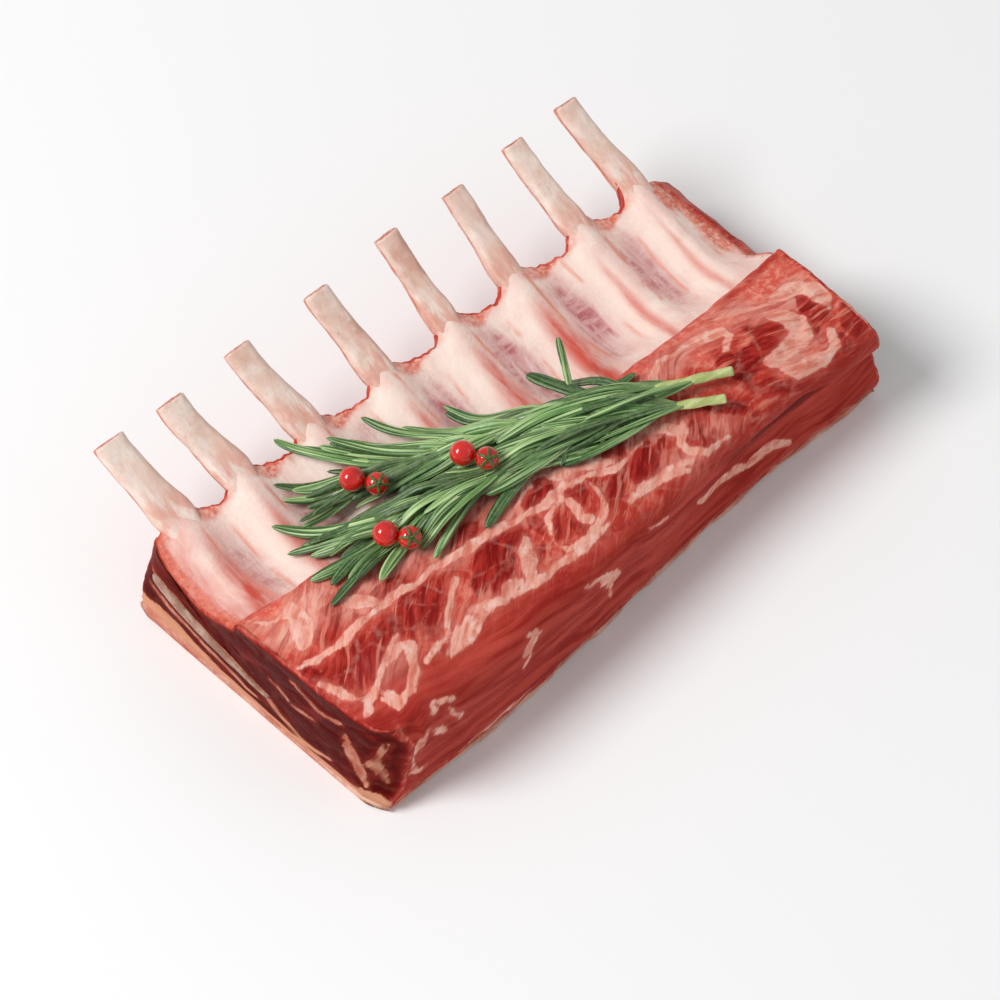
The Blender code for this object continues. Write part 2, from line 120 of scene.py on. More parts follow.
def cellEdges(points, size, seed=0):  # distance to the border between two muscle bundles, in millimetres
    p = points / size
    cell = np.floor(p)
    near = np.full(p.shape[:-1], 9.0)
    second = np.full(p.shape[:-1], 9.0)
    for dx in (-1, 0, 1):
        for dy in (-1, 0, 1):
            for dz in (-1, 0, 1):
                ix, iy, iz = cell[..., 0] + dx, cell[..., 1] + dy, cell[..., 2] + dz
                sx = ix + scatterValue(ix, iy, iz, seed)
                sy = iy + scatterValue(ix, iy, iz, seed + 31)
                sz = iz + scatterValue(ix, iy, iz, seed + 57)
                d = np.sqrt((p[..., 0] - sx) ** 2 + (p[..., 1] - sy) ** 2 + (p[..., 2] - sz) ** 2)
                second = np.minimum(second, np.maximum(near, d))
                near = np.minimum(near, d)
    return (second - near) * size * 0.5


def circle(count):
    return np.linspace(0, 2 * math.pi, count, endpoint=False)


def rounded(value, power):  # bends a round outline towards a square one, or back
    return np.sign(value) * np.abs(value) ** power


def closePoles(grid):
    grid[0] = grid[0].mean(axis=0)
    grid[-1] = grid[-1].mean(axis=0)
    return grid


def pathDistance(x, y, path):  # distance to a drawn line, and how far along it that is, from 0 to 1
    best = np.full(np.shape(x), 1e9)
    along = np.zeros(np.shape(x))
    spans = len(path) - 1
    for i in range(spans):
        ax, ay = path[i]
        bx, by = path[i + 1]
        length = (bx - ax) ** 2 + (by - ay) ** 2
        t = np.clip(((x - ax) * (bx - ax) + (y - ay) * (by - ay)) / length, 0, 1)
        d = np.hypot(x - ax - t * (bx - ax), y - ay - t * (by - ay))
        along = np.where(d < best, (i + t) / spans, along)
        best = np.minimum(best, d)
    return best, along


def blobDistance(x, y, blob):  # distance inside an oval mark: middle, length, width and turn in degrees
    cx, cy, long, wide, turn = blob
    c, s = math.cos(math.radians(turn)), math.sin(math.radians(turn))
    u = ((x - cx) * c + (y - cy) * s) / (long / 2)
    v = (-(x - cx) * s + (y - cy) * c) / (wide / 2)
    return (1 - np.sqrt(u * u + v * v)) * min(long, wide) / 2


# The rack's surface, as height over its plan
def ribTop(y):
    return rack["ribLowZ"] + rack["ribRise"] * (y - rack["ribLowY"]) ** 2


def chineLine(x):
    return rack["chineY"] + rack["chineBow"] * (x - rack["chineBowX"]) ** 2


def sideLine(x):
    return mix(*rack["sideY"], smooth(*rack["sideTurnX"], x))


def nearRib(x, width):
    x = np.asarray(x, float)
    found = [np.exp(-((x - rib) / width) ** 2) for rib in rack["ribBaseX"]]
    return np.max(found, axis=0)


def marginLine(x):
    x = np.asarray(x, float)
    line = np.full(x.shape, rack["marginY"])
    ribs = rack["ribBaseX"]
    for left, right in zip(ribs, ribs[1:]):
        dipped = line - rack["marginDip"] * smooth(left + 4, right - 3, x)
        line = np.where((x > left) & (x <= right), dipped, line)
    line = line + rack["marginWaver"] * np.sin(x * 1.9) * np.sin(x * 0.67 + 1)
    return mix(line, rack["marginY"] + rack["marginPeak"], nearRib(x, 4.7))


def membraneTop(x, y):
    beyond = y - chineLine(x)
    skin = mix(rack["skin"], -0.5, smooth(30, 42.5, y))
    top = ribTop(y) + skin + rack["chineFoot"] * (1 - smooth(0, 16, beyond))
    valley = rack["valley"] + 1.2 * smooth(22, 40, y)
    valley = valley * mix(0.25, 1.0, smooth(-1, 11, beyond))
    lip = rack["lip"] * smooth(31, 37, y) * nearRib(x + 9.5, 3.0) * (1 - nearRib(x, 5.2))
    return top - valley * (1 - nearRib(x, 6.4)) + lip


def chineTop(x, y):
    side = sideLine(x)
    across = np.clip((y - side) / (chineLine(x) - side), 0, 1)
    top = mix(*rack["chineZ"], across) + rack["chineCrown"] * np.sin(math.pi * across)
    top = top - rack["chineDrop"] * (1 - smooth(rack["shoulderX"], -66, x))
    lump = np.sin(x / 7.5 + y / 11) * np.cos(x / 19 - y / 8)
    return top + rack["chineLump"] * lump


def topHeight(x, y):
    return np.where(y > chineLine(x) + 0.3, membraneTop(x, y), chineTop(x, y))


def fatTop(y):
    return mix(*rack["fatThick"], smooth(-24, 36, y))


def shoulderX(y, z):
    low = rack["shoulderX"] + 1.6 - rack["shoulderSlope"] * (y + 45)
    high = rack["shoulderX"] - 1.0 + rack["shoulderBow"] * (y - 12) ** 2 + 3.0 * smooth(33, 42, y)
    corner = mix(2.0, 6.0, smooth(3, 12, z)) * smooth(-45, -54, y)
    return mix(low, high, np.clip(z / 34, 0, 1)) + corner


def loinX(y, z):
    end = rack["loinX"] + 4.6 - rack["loinSlope"] * (y + 39) - rack["loinBow"] * (z - 8) ** 2
    end = end - 1.8 * smooth(-10, 20, y)
    end = end - 4.5 * smooth(20, 30, z) * smooth(-6, 2, y)
    return end - 4.0 * smooth(36, 44, y)


def fittedX(station, y, z):
    shoulder = 1 - smooth(rack["shoulderX"], rack["shoulderX"] + 22, station)
    loin = smooth(rack["loinX"] - 24, rack["loinX"], station)
    return station + shoulder * (shoulderX(y, z) - rack["shoulderX"]) + loin * (loinX(y, z) - rack["loinX"])


# The body of meat
meatBody = {
    "rowSpacing": 0.67,
    "shoulderRows": 24,
    "loinRows": 12,
    "edgeRadius": 1.3,
    "splits": {"under": 2, "wall": 5, "membrane": 5, "step": 5, "chine": 15, "side": 8},
    "middle": (-6.0, 17.0),
}


def wallFoot(x):  # how far the foot of the back wall reaches
    return mix(np.minimum(marginLine(x), 40.6), rack["marginY"] + 0.6, 0.6)


def meatControls(x):  # cross-section at each x: y, z and the zone that each point starts
    side, chine, margin, low = sideLine(x), chineLine(x), marginLine(x), wallFoot(x)
    under = 3.0 * smooth(15, 62, x)
    points = []
    for f in np.linspace(0, 1, 9):
        y = mix(side + 1.0, low - 1.0, f)
        points.append((y, fatTop(y) + rack["gap"], "under" if f < 1 else "wall"))
    edge = membraneTop(x, margin - 1.0)
    wall = [(low, 7.5), (low + 0.8, 14), (mix(low, margin, 0.5), 21)]
    wall += [(margin, edge - 3.6), (margin - 0.1, edge - 1.0)]
    points += [(y, z + 0 * x, "wall") for y, z in wall]
    for f in np.linspace(0, 1, 16):
        y = mix(margin - 1.5, chine + 0.6, f)
        points.append((y, membraneTop(x, y), "membrane" if f < 1 else "step"))
    rise = smooth(-88, -64, x)
    foot = membraneTop(x, chine + 0.6)
    points.append((chine - 0.6, mix(foot, chineTop(x, chine), mix(0.2, 0.75, rise)), "step"))
    for y in (chine - 3.2, mix(chine, side, 0.3), mix(chine, side, 0.5), mix(chine, side, 0.7), side + 7.0):
        points.append((y, chineTop(x, y), "chine"))
    corner = chineTop(x, side + 7.0)
    points += [(side + 3.0, corner - 1.8, "side"), (side + 0.6, corner - 5.5, "side")]
    face = [(-0.2, 27.5), (under, 21), (under * 0.8, 14.5), (-0.3, 8.5)]
    points += [(side + inward, z + 0 * x, "side") for inward, z in face]
    points.append((side + 0.1, 5.2 + 0 * x, "under"))
    return points


def meatRing(x):  # the whole cross-section as smooth curves through its points
    points = meatControls(x)
    ys = np.stack([p[0] for p in points], -1)
    zs = np.stack([p[1] for p in points], -1)
    count = len(points)
    ring, zones = [], []
    for i in range(count):
        zone = points[i][2]
        steps = meatBody["splits"][zone]
        for k in range(steps):
            u = k / steps
            w = (-0.5 * u ** 3 + u * u - 0.5 * u, 1.5 * u ** 3 - 2.5 * u * u + 1,
                 -1.5 * u ** 3 + 2 * u * u + 0.5 * u, 0.5 * u ** 3 - 0.5 * u * u)
            y = sum(w[j] * ys[..., (i + j - 1) % count] for j in range(4))
            z = sum(w[j] * zs[..., (i + j - 1) % count] for j in range(4))
            ring.append(np.stack([y, z], -1))
            zones.append(zone)
    return np.stack(ring, -2), zones


def meatGrid():  # rows from the shoulder pole to the loin pole, each a full ring
    rows = int(round((rack["loinX"] - rack["shoulderX"]) / meatBody["rowSpacing"]))
    station = np.linspace(rack["shoulderX"], rack["loinX"], rows + 1)[:, None]
    yz, zones = meatRing(station[:, 0])
    y, z = yz[..., 0], yz[..., 1]
    x = fittedX(station, y, z)
    onTop = np.array([zone in ("membrane", "chine") for zone in zones])
    z = z + onTop * (topHeight(x, y) - topHeight(station + 0 * y, y))
    x = fittedX(station, y, z)
    body = np.stack([x, y, z], -1)
    radius = meatBody["edgeRadius"]
    centre = np.array(meatBody["middle"])

    def endRows(ring, endX, inward, count):
        offset = ring[:, 1:] - centre
        far = np.linalg.norm(offset, axis=1)[:, None]
        built = []
        for k in range(5):  # the softened edge of the cut
            a = k / 4 * math.pi / 2
            spot = centre + offset * (1 - radius * (1 - math.cos(a)) / far)
            x = endX(spot[:, 0], spot[:, 1]) + inward * radius * (1 - math.sin(a))
            built.append(np.column_stack([x, spot]))
        for k in range(1, count + 1):
            spot = centre + offset * (1 - radius / far) * (1 - k / count)
            built.append(np.column_stack([endX(spot[:, 0], spot[:, 1]), spot]))
        return np.array(built)

    first = endRows(body[0], shoulderX, 1, meatBody["shoulderRows"])
    last = endRows(body[-1], loinX, -1, meatBody["loinRows"])
    grid = np.concatenate([first[::-1], body[2:-2], last])
    ramp = np.linspace(1.0, 0.0, 11)[1:-1]  # five rows of softened edge, then four of the side
    plain = np.zeros(len(grid) - len(first) - len(last) - 8)
    cut = np.concatenate([np.ones(len(first) - 5), ramp, plain, ramp[::-1], np.ones(len(last) - 5)])
    return grid, cut, np.array(zones)


# The camera, matched to the photo, in degrees, millimetres and points of a picture of 1000 by 1000
photoView = {"azimuth": 41.1, "elevation": 60.0, "distance": 900.0, "focal": 3240.0, "middle": 500.0}

# Marks of the chine side and the long side, in picture points, widths too
pictureMarks = {
    "pointsPerMm": 3.3,
    "seams": [  # pale lines of fat and sinew, with their width
        ([(300, 668), (325, 652), (345, 640), (358, 622), (372, 610)], 7),
        ([(372, 610), (395, 600), (415, 585), (430, 572), (448, 560)], 5),
        ([(448, 560), (470, 548), (487, 535), (510, 525), (530, 515), (548, 500), (560, 488)], 6),
        ([(360, 722), (368, 705), (375, 690), (385, 660), (392, 635)], 5),
        ([(455, 580), (452, 610), (445, 640), (425, 660)], 4),
        ([(385, 700), (400, 702), (412, 690), (413, 665), (408, 645), (392, 648), (385, 665)], 6),
        ([(525, 538), (528, 555), (530, 578)], 11), ([(520, 520), (514, 505), (525, 480), (545, 472)], 4),
        ([(500, 600), (520, 592), (545, 572), (565, 558), (590, 545), (608, 525)], 5),
        ([(556, 500), (549, 520), (554, 540), (570, 549), (588, 541), (600, 520), (602, 500), (592, 485)], 4),
        ([(566, 505), (580, 515), (592, 518)], 6), ([(590, 460), (586, 440), (596, 420)], 6),
        ([(560, 490), (590, 478), (612, 470), (630, 455), (640, 440)], 5),
        ([(630, 500), (645, 488), (668, 475), (690, 470)], 6),
        ([(682, 420), (681, 440), (690, 452), (710, 452), (726, 440)], 3.5),
        ([(640, 395), (665, 362), (682, 349)], 5),
        ([(680, 349), (691, 341), (706, 338), (724, 334), (732, 339), (728, 349)], 8),
        ([(769, 300), (784, 293), (803, 287), (818, 289), (826, 298)], 12),
        ([(769, 315), (784, 319), (797, 326), (803, 336), (792, 347), (780, 354), (769, 362)], 14),
        ([(769, 360), (780, 367), (795, 371), (814, 367), (827, 358), (835, 345), (833, 332)], 11),
        ([(700, 500), (725, 478), (745, 462)], 9), ([(745, 462), (765, 450), (788, 441)], 9),
        ([(650, 527), (668, 518)], 4), ([(468, 745), (500, 722), (520, 705), (535, 690)], 3.5),
    ],
    "pads": [  # broad pale patches: both ends and the width
        (452, 655, 476, 612, 17), (470, 612, 512, 596, 10), (548, 476, 582, 466, 15),
        (575, 472, 612, 460, 12), (318, 695, 352, 700, 9), (300, 664, 320, 660, 9), (398, 700, 384, 690, 9),
        (633, 430, 688, 428, 12), (648, 486, 690, 462, 8), (428, 706, 450, 700, 6), (450, 712, 462, 720, 8),
        (436, 728, 446, 732, 8), (428, 735, 408, 752, 6), (412, 755, 400, 760, 5), (392, 742, 384, 758, 5),
        (396, 770, 422, 768, 5), (430, 703, 432, 714, 5), (290, 600, 305, 650, 20), (345, 605, 375, 600, 14),
        (362, 722, 372, 708, 7), (502, 595, 525, 580, 8),
    ],
    "bundles": [  # dark red muscle: both ends, the width and the strength
        (303, 668, 312, 688, 12, 1.0), (348, 645, 322, 690, 15, 0.9), (340, 665, 335, 695, 9, 0.75),
        (362, 635, 352, 690, 13, 0.9), (386, 622, 372, 680, 13, 0.85), (350, 692, 362, 718, 13, 0.5),
        (412, 592, 396, 632, 12, 0.95), (428, 582, 414, 632, 11, 0.85), (440, 580, 432, 638, 12, 0.9),
        (452, 575, 446, 620, 8, 0.7), (400, 578, 375, 598, 13, 0.75), (332, 602, 324, 642, 18, 0.7),
        (474, 522, 455, 552, 15, 0.8), (492, 540, 482, 592, 20, 1.0), (508, 535, 503, 590, 18, 1.0),
        (520, 528, 512, 552, 12, 0.75), (545, 480, 524, 510, 24, 1.0), (606, 428, 594, 464, 18, 0.95),
        (625, 432, 606, 452, 12, 0.85), (622, 448, 614, 500, 14, 0.9), (648, 440, 636, 482, 16, 1.0),
        (662, 440, 652, 472, 10, 0.85), (592, 478, 606, 502, 9, 0.7), (580, 486, 564, 508, 22, 0.9),
        (553, 512, 558, 534, 8, 0.75), (574, 525, 590, 535, 9, 0.6), (692, 422, 694, 448, 16, 0.9),
        (714, 432, 704, 450, 9, 0.8), (690, 402, 745, 412, 12, 0.9), (735, 372, 775, 340, 24, 1.0),
        (748, 332, 785, 326, 9, 0.85), (718, 358, 752, 376, 18, 0.95), (798, 302, 826, 308, 26, 0.95),
        (814, 318, 806, 342, 16, 0.7), (842, 305, 858, 335, 15, 0.85), (838, 335, 850, 352, 12, 0.8),
        (866, 345, 842, 368, 10, 0.8), (750, 388, 800, 385, 10, 0.7), (520, 560, 545, 545, 9, 0.5),
        (365, 735, 385, 762, 12, 0.6), (545, 530, 530, 520, 10, 0.8), (600, 500, 612, 515, 8, 0.7),
    ],
    "coral": [  # bright pinkish red patches, given in the same way
        (255, 612, 290, 612, 28, 1.0), (222, 600, 228, 622, 16, 0.8), (790, 258, 745, 300, 26, 1.0),
        (790, 262, 830, 290, 10, 0.8), (735, 285, 690, 322, 16, 0.9), (700, 322, 640, 362, 11, 1.0),
        (655, 368, 620, 375, 10, 0.9), (692, 358, 708, 356, 22, 0.75), (700, 330, 745, 318, 12, 0.7),
        (520, 470, 500, 510, 18, 0.6), (560, 440, 545, 455, 14, 0.6), (500, 500, 480, 515, 10, 0.6),
        (620, 410, 640, 420, 14, 0.7), (680, 382, 735, 388, 10, 0.6), (808, 345, 816, 352, 12, 0.9),
        (335, 610, 360, 590, 10, 0.4), (240, 640, 262, 660, 18, 0.5), (320, 610, 312, 640, 12, 0.3),
        (775, 365, 790, 378, 18, 0.35), (290, 665, 280, 680, 14, 0.7), (425, 640, 440, 655, 9, 0.5),
    ],
}

# More marks there: x, then distance down from the chine line, in millimetres
chineMarks = {
    "seams": [
        ([(-87, 4), (-84.5, 9.5), (-78, 11), (-74, 6), (-75.5, 1)], 1.4), ([(-5, 58), (-3.5, 67)], 1.2),
        ([(-34.5, 60), (-36.5, 68.5)], 1.2),
    ],
    "pads": [  # middle, length, width and turn
        (-5, 55, 9, 5.2, 60), (-9, 51, 6, 2.2, 15), (-34, 57, 8, 4.2, -60), (-32, 54, 6, 2.4, 30),
    ],
    "sinewy": [  # where pale pink sinew runs through the muscle
        (-79, 13, 24, 15, 10, 0.9), (-63, 21, 18, 9, 0, 0.8), (-44, 17, 26, 9, 0, 0.6),
        (-36, 24, 14, 5, 0, 0.6), (-16, 20, 16, 12, 0, 0.6), (3, 20, 18, 9, 15, 0.8),
        (27, 25, 22, 8, 15, 0.6), (30, 37, 18, 6, 10, 0.5), (70, 14, 34, 8, 20, 0.7),
        (86, 18, 20, 10, 25, 0.8), (48, 13, 26, 7, 0, 0.6), (76, 33, 14, 8, 0, 0.7),
        (-68, 44, 12, 12, 0, 0.6), (-36, 40, 20, 5, 0, 0.5), (42, 36, 14, 8, 0, 0.4),
        (50, 62, 40, 5, 10, 0.4),
    ],
    # the groove under the overhanging chine: pushed in, and painted dark as its shade
    "shadedRecess": [(66, 50, 30, 8, 6, 1.0), (48, 48, 16, 4, 10, 0.5)],
}

# Marks of the cut shoulder end, as y and z
cutMarks = {
    "seams": [
        ([(-1, 16), (-10, 14.5), (-17, 10), (-23, 6), (-34, 8.5)], 1.5),
        ([(36, 16), (22, 13), (6, 11), (-8, 9)], 1.0),
        ([(-12, 25), (-20, 21), (-28, 22)], 0.8),
        ([(-20, 33), (-28, 29), (-37, 30)], 1.0),
        ([(-38, 26), (-44, 15), (-46, 9)], 2.2),
        ([(-49, 30), (-47, 21), (-50, 12)], 1.2),
        ([(39, 7.5), (30, 7.5), (18, 6.5), (8, 5.8)], 4.2),
        ([(12, 6), (0, 4.8), (-12, 4.6), (-30, 3.8), (-50, 3.6)], 2.6),
        ([(36, 21.5), (20, 19.5), (4, 18), (-10, 15)], 1.6),
    ],
    "pads": [(-41, 19, 13, 5.0, 60), (-28.3, 29.5, 4, 1.8, 10), (-47, 20, 5, 3, 70), (-48.5, 5.5, 9, 3, 10)],
}


def viewAhead():  # the way the camera looks
    turn, rise = math.radians(photoView["azimuth"]), math.radians(photoView["elevation"])
    return np.array([math.sin(turn) * math.cos(rise), math.cos(turn) * math.cos(rise), -math.sin(rise)])


def pictureFinder(grid, cut, zones, down):  # turns a place in the picture into x and the distance down
    ahead, turn = viewAhead(), math.radians(photoView["azimuth"])
    right = np.array([math.cos(turn), -math.sin(turn), 0.0])
    offset = grid + photoView["distance"] * ahead
    depth = offset @ ahead
    u = photoView["middle"] + photoView["focal"] * (offset @ right) / depth
    v = photoView["middle"] - photoView["focal"] * (offset @ np.cross(right, ahead)) / depth
    shown = np.isin(zones, ["step", "chine", "side"])[None, :] & (cut < 0.3)[:, None]

    def find(seenU, seenV):
        miss = np.where(shown, (u - seenU) ** 2 + (v - seenV) ** 2, 1e9)
        spot = np.unravel_index(np.argmin(miss), miss.shape)
        return grid[spot][0], down[spot]

    return find


def placedMarks(grid, cut, zones, down):  # all the marks, in millimetres on the meat
    find = pictureFinder(grid, cut, zones, down)
    size = pictureMarks["pointsPerMm"]

    def oval(u, v, endU, endV, width, *strength):
        (x, y), (endX, endY) = find(u, v), find(endU, endV)
        length = max(1.0, math.hypot(endX - x, endY - y))
        turn = math.degrees(math.atan2(endY - y, endX - x))
        return ((x + endX) / 2, (y + endY) / 2, length, width / size, turn, *strength)

    marks = dict(chineMarks)
    seams = [([find(*spot) for spot in path], width / size) for path, width in pictureMarks["seams"]]
    marks["seams"] = chineMarks["seams"] + seams
    marks["pads"] = chineMarks["pads"] + [oval(*pad) for pad in pictureMarks["pads"]]
    for key in ("bundles", "coral"):
        marks[key] = [oval(*mark) for mark in pictureMarks[key]]
    return marks


def markDistance(x, y, marks):  # how far inside the nearest pale mark each point lies, below 0 outside
    best = np.full(np.shape(x), -9.0)
    for path, width in marks["seams"]:
        d, along = pathDistance(x, y, path)
        half = (width * 1.15 + 0.35) / 2
        taper = 0.5 + 0.55 * np.sin(math.pi * along) ** 0.5 + 0.15 * np.sin(along * 9 + width * 7)
        best = np.maximum(best, half * taper - d)
    for blob in marks["pads"]:
        best = np.maximum(best, blobDistance(x, y, blob))
    return best


def markStrength(x, y, marks, soft):
    total = np.zeros(np.shape(x))
    for blob in marks:
        total = np.maximum(total, blob[5] * smooth(-soft, soft, blobDistance(x, y, blob[:5])))
    return total


def bundleFields(x, y, marks):  # distance into the nearest bundle, and its strength
    inside = np.full(np.shape(x), -9.0)
    strength = np.zeros(np.shape(x))
    for blob in marks["bundles"]:
        depth = blobDistance(x, y, blob[:5])
        strength = np.where(depth > inside, blob[5], strength)
        inside = np.maximum(inside, depth)
    return inside, strength


grainTurn = {"middle": (54.0, 25.0), "left": -42.0, "right": 14.0}


def grainGrid(x, y):  # follows the fibres, which slant on the left and are nearly level on the right
    placed = []
    for turn in (grainTurn["left"], grainTurn["right"]):
        c, s = math.cos(math.radians(turn)), math.sin(math.radians(turn))
        offX, offY = x - grainTurn["middle"][0], y - grainTurn["middle"][1]
        placed.append((offX * c + offY * s, -offX * s + offY * c))
    right = smooth(36, 72, x)
    return mix(placed[0][0], placed[1][0], right), mix(placed[0][1], placed[1][1], right)


# The colour of the membrane over the ribs
membraneTint = {
    "coralStrength": (1.0, 0.8, 0.6, 0.75, 0.95, 1.0, 0.75, 0.6),
    "coralWidth": (4.8, 2.8, 2.2, 2.6, 3.2, 4.2, 1.6, 1.3),
    "coralShift": (0.8, 0.0, -0.5, -0.5, 0.0, -1.0, -3.5, -3.0),
    "mauveStrength": (0.65, 0.7, 0.7, 0.8, 0.85, 0.9, 0.85, 0.0),
}


ragged = {  # how uneven each kind of border is: strength, size of the lumps in millimetres, seed, layers
    "warp": (1.0, 9.0, 3, 3), "warpDown": (1.0, 7.0, 8, 3), "tatter": (0.5, 3.4, 9, 2),
    "swell": (0.8, 6.5, 41, 2), "cut": (0.8, 6.0, 15, 2), "eye": (0.05, 9.0, 77, 2),
    "grain": (2.4, 16.0, 23, 2), "wander": (1.2, 9.0, 80, 2), "inward": (1.6, 6.0, 36, 3),
    "lip": (1.2, 5.0, 33, 3), "loin": (2.2, 6.0, 35, 3), "rim": (1.0, 6.0, 71, 2),
}
loinEye = {"middle": (-31, 22), "half": (20, 18.5), "lineWidth": 19}  # the dark muscle of the loin cut


def uneven(grid, key, index=0):
    strength, size, seed, layers = ragged[key]
    return strength * layeredNoise(grid, size, seed + index, layers)


def membraneFields(x, y, warp):  # red lines, mauve patches, cream bands on the left flank of each rib (the membrane's pale colour, partly painted highlight) and fine lines beside each rib
    line, mauve, cream, ribLine = (np.zeros(np.shape(x)) for _ in range(4))
    drift = 0.10 * (12 - y)
    for i, rib in enumerate(rack["ribBaseX"]):
        wide = membraneTint["coralWidth"][i] * mix(1.0, 0.45, smooth(5, 30, y))
        near = np.exp(-((x - rib - membraneTint["coralShift"][i] + drift * 0.5 + 0.5 * warp) / wide) ** 2)
        line = np.maximum(line, membraneTint["coralStrength"][i] * near * (1 - smooth(18, 33, y)))
        patch = np.exp(-((x - rib - 8.5 + 1.5 * warp) / 6.2) ** 2) * np.exp(-((y - 15) / 17) ** 2)
        mauve = np.maximum(mauve, membraneTint["mauveStrength"][i] * patch)
        # the pale band sits on the lit left flank of each rib: partly painted highlight
        cream = np.maximum(cream, np.exp(-((x - rib + 6.5) / 4.4) ** 2))
        wander = uneven(np.stack([y * 0.5, 0 * y, 0 * y], -1), "wander", i)
        hair = np.exp(-((x - rib - 3.2 + wander) / 0.55) ** 2)
        hair = hair + 0.8 * np.exp(-((x - rib + 9.5 - wander) / 0.5) ** 2)
        ribLine = np.maximum(ribLine, hair * smooth(-4, 4, y))
    return line, mauve, cream, ribLine


def lipField(grid, inward):  # the torn red edge round the membrane
    x, y, z = grid[..., 0], grid[..., 1], grid[..., 2]
    leftFlap = np.max([np.exp(-((x - rib - 7.5) / 3.5) ** 2) for rib in rack["ribBaseX"]], axis=0)
    lipStart = 33.5 - 2.2 * leftFlap + uneven(grid, "lip")
    lip = smooth(0, 2.2, y - lipStart) * (1 - nearRib(x, 5.2))
    loinStrip = smooth(0, 1.8, x - loinX(y, z) + 5.5 + uneven(grid, "loin")) * smooth(3, 9, y)
    lip = np.maximum(lip, 0.9 * loinStrip)
    return np.maximum(lip, 0.8 * (1 - smooth(1.6, 4.2, inward)) * (x < 0))


def meatFields(grid, cut, zones):
    x, y, z = grid[..., 0], grid[..., 1], grid[..., 2]
    step = list(zones).index("step")
    lengths = np.linalg.norm(np.roll(grid, -1, 1) - grid, axis=2)
    total = np.cumsum(lengths, axis=1) - lengths
    down = total - total[:, step:step + 1]
    end = cut[:, None] + 0 * y

    def zoneMask(*names):
        return np.isin(zones, names)[None, :] * (1 - smooth(0.4, 0.6, end))

    isTop, isSide = zoneMask("membrane"), zoneMask("side")
    muscle = zoneMask("step", "chine") + isSide
    marks = placedMarks(grid, cut, zones, down)
    warp, warpDown, tatter = uneven(grid, "warp"), uneven(grid, "warpDown"), uneven(grid, "tatter")
    warpedX, warpedDown = x + 0.9 * warp, down + 0.9 * warpDown
    pale = markDistance(x + 2.2 * warp, down + 2.0 * warpDown, marks) + tatter + uneven(grid, "swell")
    paleCut = markDistance(y + 0.8 * warp, z + uneven(grid, "cut"), cutMarks)
    onCut = smooth(0.4, 0.6, end) * (x < 0)
    pale = mix(np.where(isTop > 0.5, -9.0, pale), paleCut, onCut)
    eyeY, eyeZ = loinEye["middle"]
    halfY, halfZ = loinEye["half"]
    eye = np.hypot((y - eyeY) / halfY, (z - eyeZ) / halfZ) + uneven(grid, "eye")
    pale = np.where((end > 0.5) & (x > 0), 0.5 - loinEye["lineWidth"] * np.abs(eye - 1), pale)
    border = cellEdges(np.stack([warpedX * 0.62, warpedDown, 0 * x], -1), 7.0, 4)
    border = np.where(onCut > 0.5, cellEdges(np.stack([y * 0.7, z * 1.2, 0 * x], -1), 8.0, 9), border)
    lean, strength = bundleFields(x + 1.5 * warp, down + 1.5 * warpDown, marks)
    lean = np.where(muscle > 0.5, lean + 0.45 + 0.5 * tatter, -9.0)
    grainAlong, grainAcross = grainGrid(x, down)
    grainAcross = grainAcross + uneven(grid, "grain") + 0.8 * warp
    line, mauve, cream, ribLine = membraneFields(x, y, warp)
    inward = x - shoulderX(y, z) + uneven(grid, "inward")
    line = np.maximum(line, 0.75 * (1 - smooth(3.0, 12.0, inward)) * (x < 0))
    coral = markStrength(warpedX, warpedDown, marks["coral"], 1.8) * muscle
    endRim = np.exp(-((end - 0.45) / 0.30) ** 2) * (z > 20) * (y > -8)
    fields = {
        "pale": pale, "border": border, "lean": lean, "leanStrength": strength * muscle,
        "sinewy": markStrength(warpedX, warpedDown, marks["sinewy"], 3.0) * muscle,
        "shadedRecess": markStrength(x, down, marks["shadedRecess"], 1.6) * muscle,
        "coral": np.maximum(coral, line * isTop), "mauve": mauve * isTop, "cream": cream * isTop,
        "ribLine": ribLine * isTop, "lip": lipField(grid, inward) * isTop + zoneMask("wall"),
        "overRibs": isTop + 0 * x, "cutEnd": end * (1 - 0.8 * (x > 0) * smooth(0.97, 1.03, eye)),
        "endRim": endRim * smooth(-0.5, 0.2, uneven(grid, "rim")), "longSide": smooth(36, 50, down) * muscle,
    }
    return fields, down, np.stack([grainAlong, grainAcross, 0 * down], -1) * mm


reliefDepth = {  # in millimetres
    "bundles": 0.45, "pale": 0.12, "lean": 0.40, "lumps": 0.30, "streaks": 0.18, "shadedRecess": 1.7,
    "fibres": 0.16, "waves": 0.25, "lip": 0.5, "cutLumps": 0.28, "cutBundles": 0.3,
}


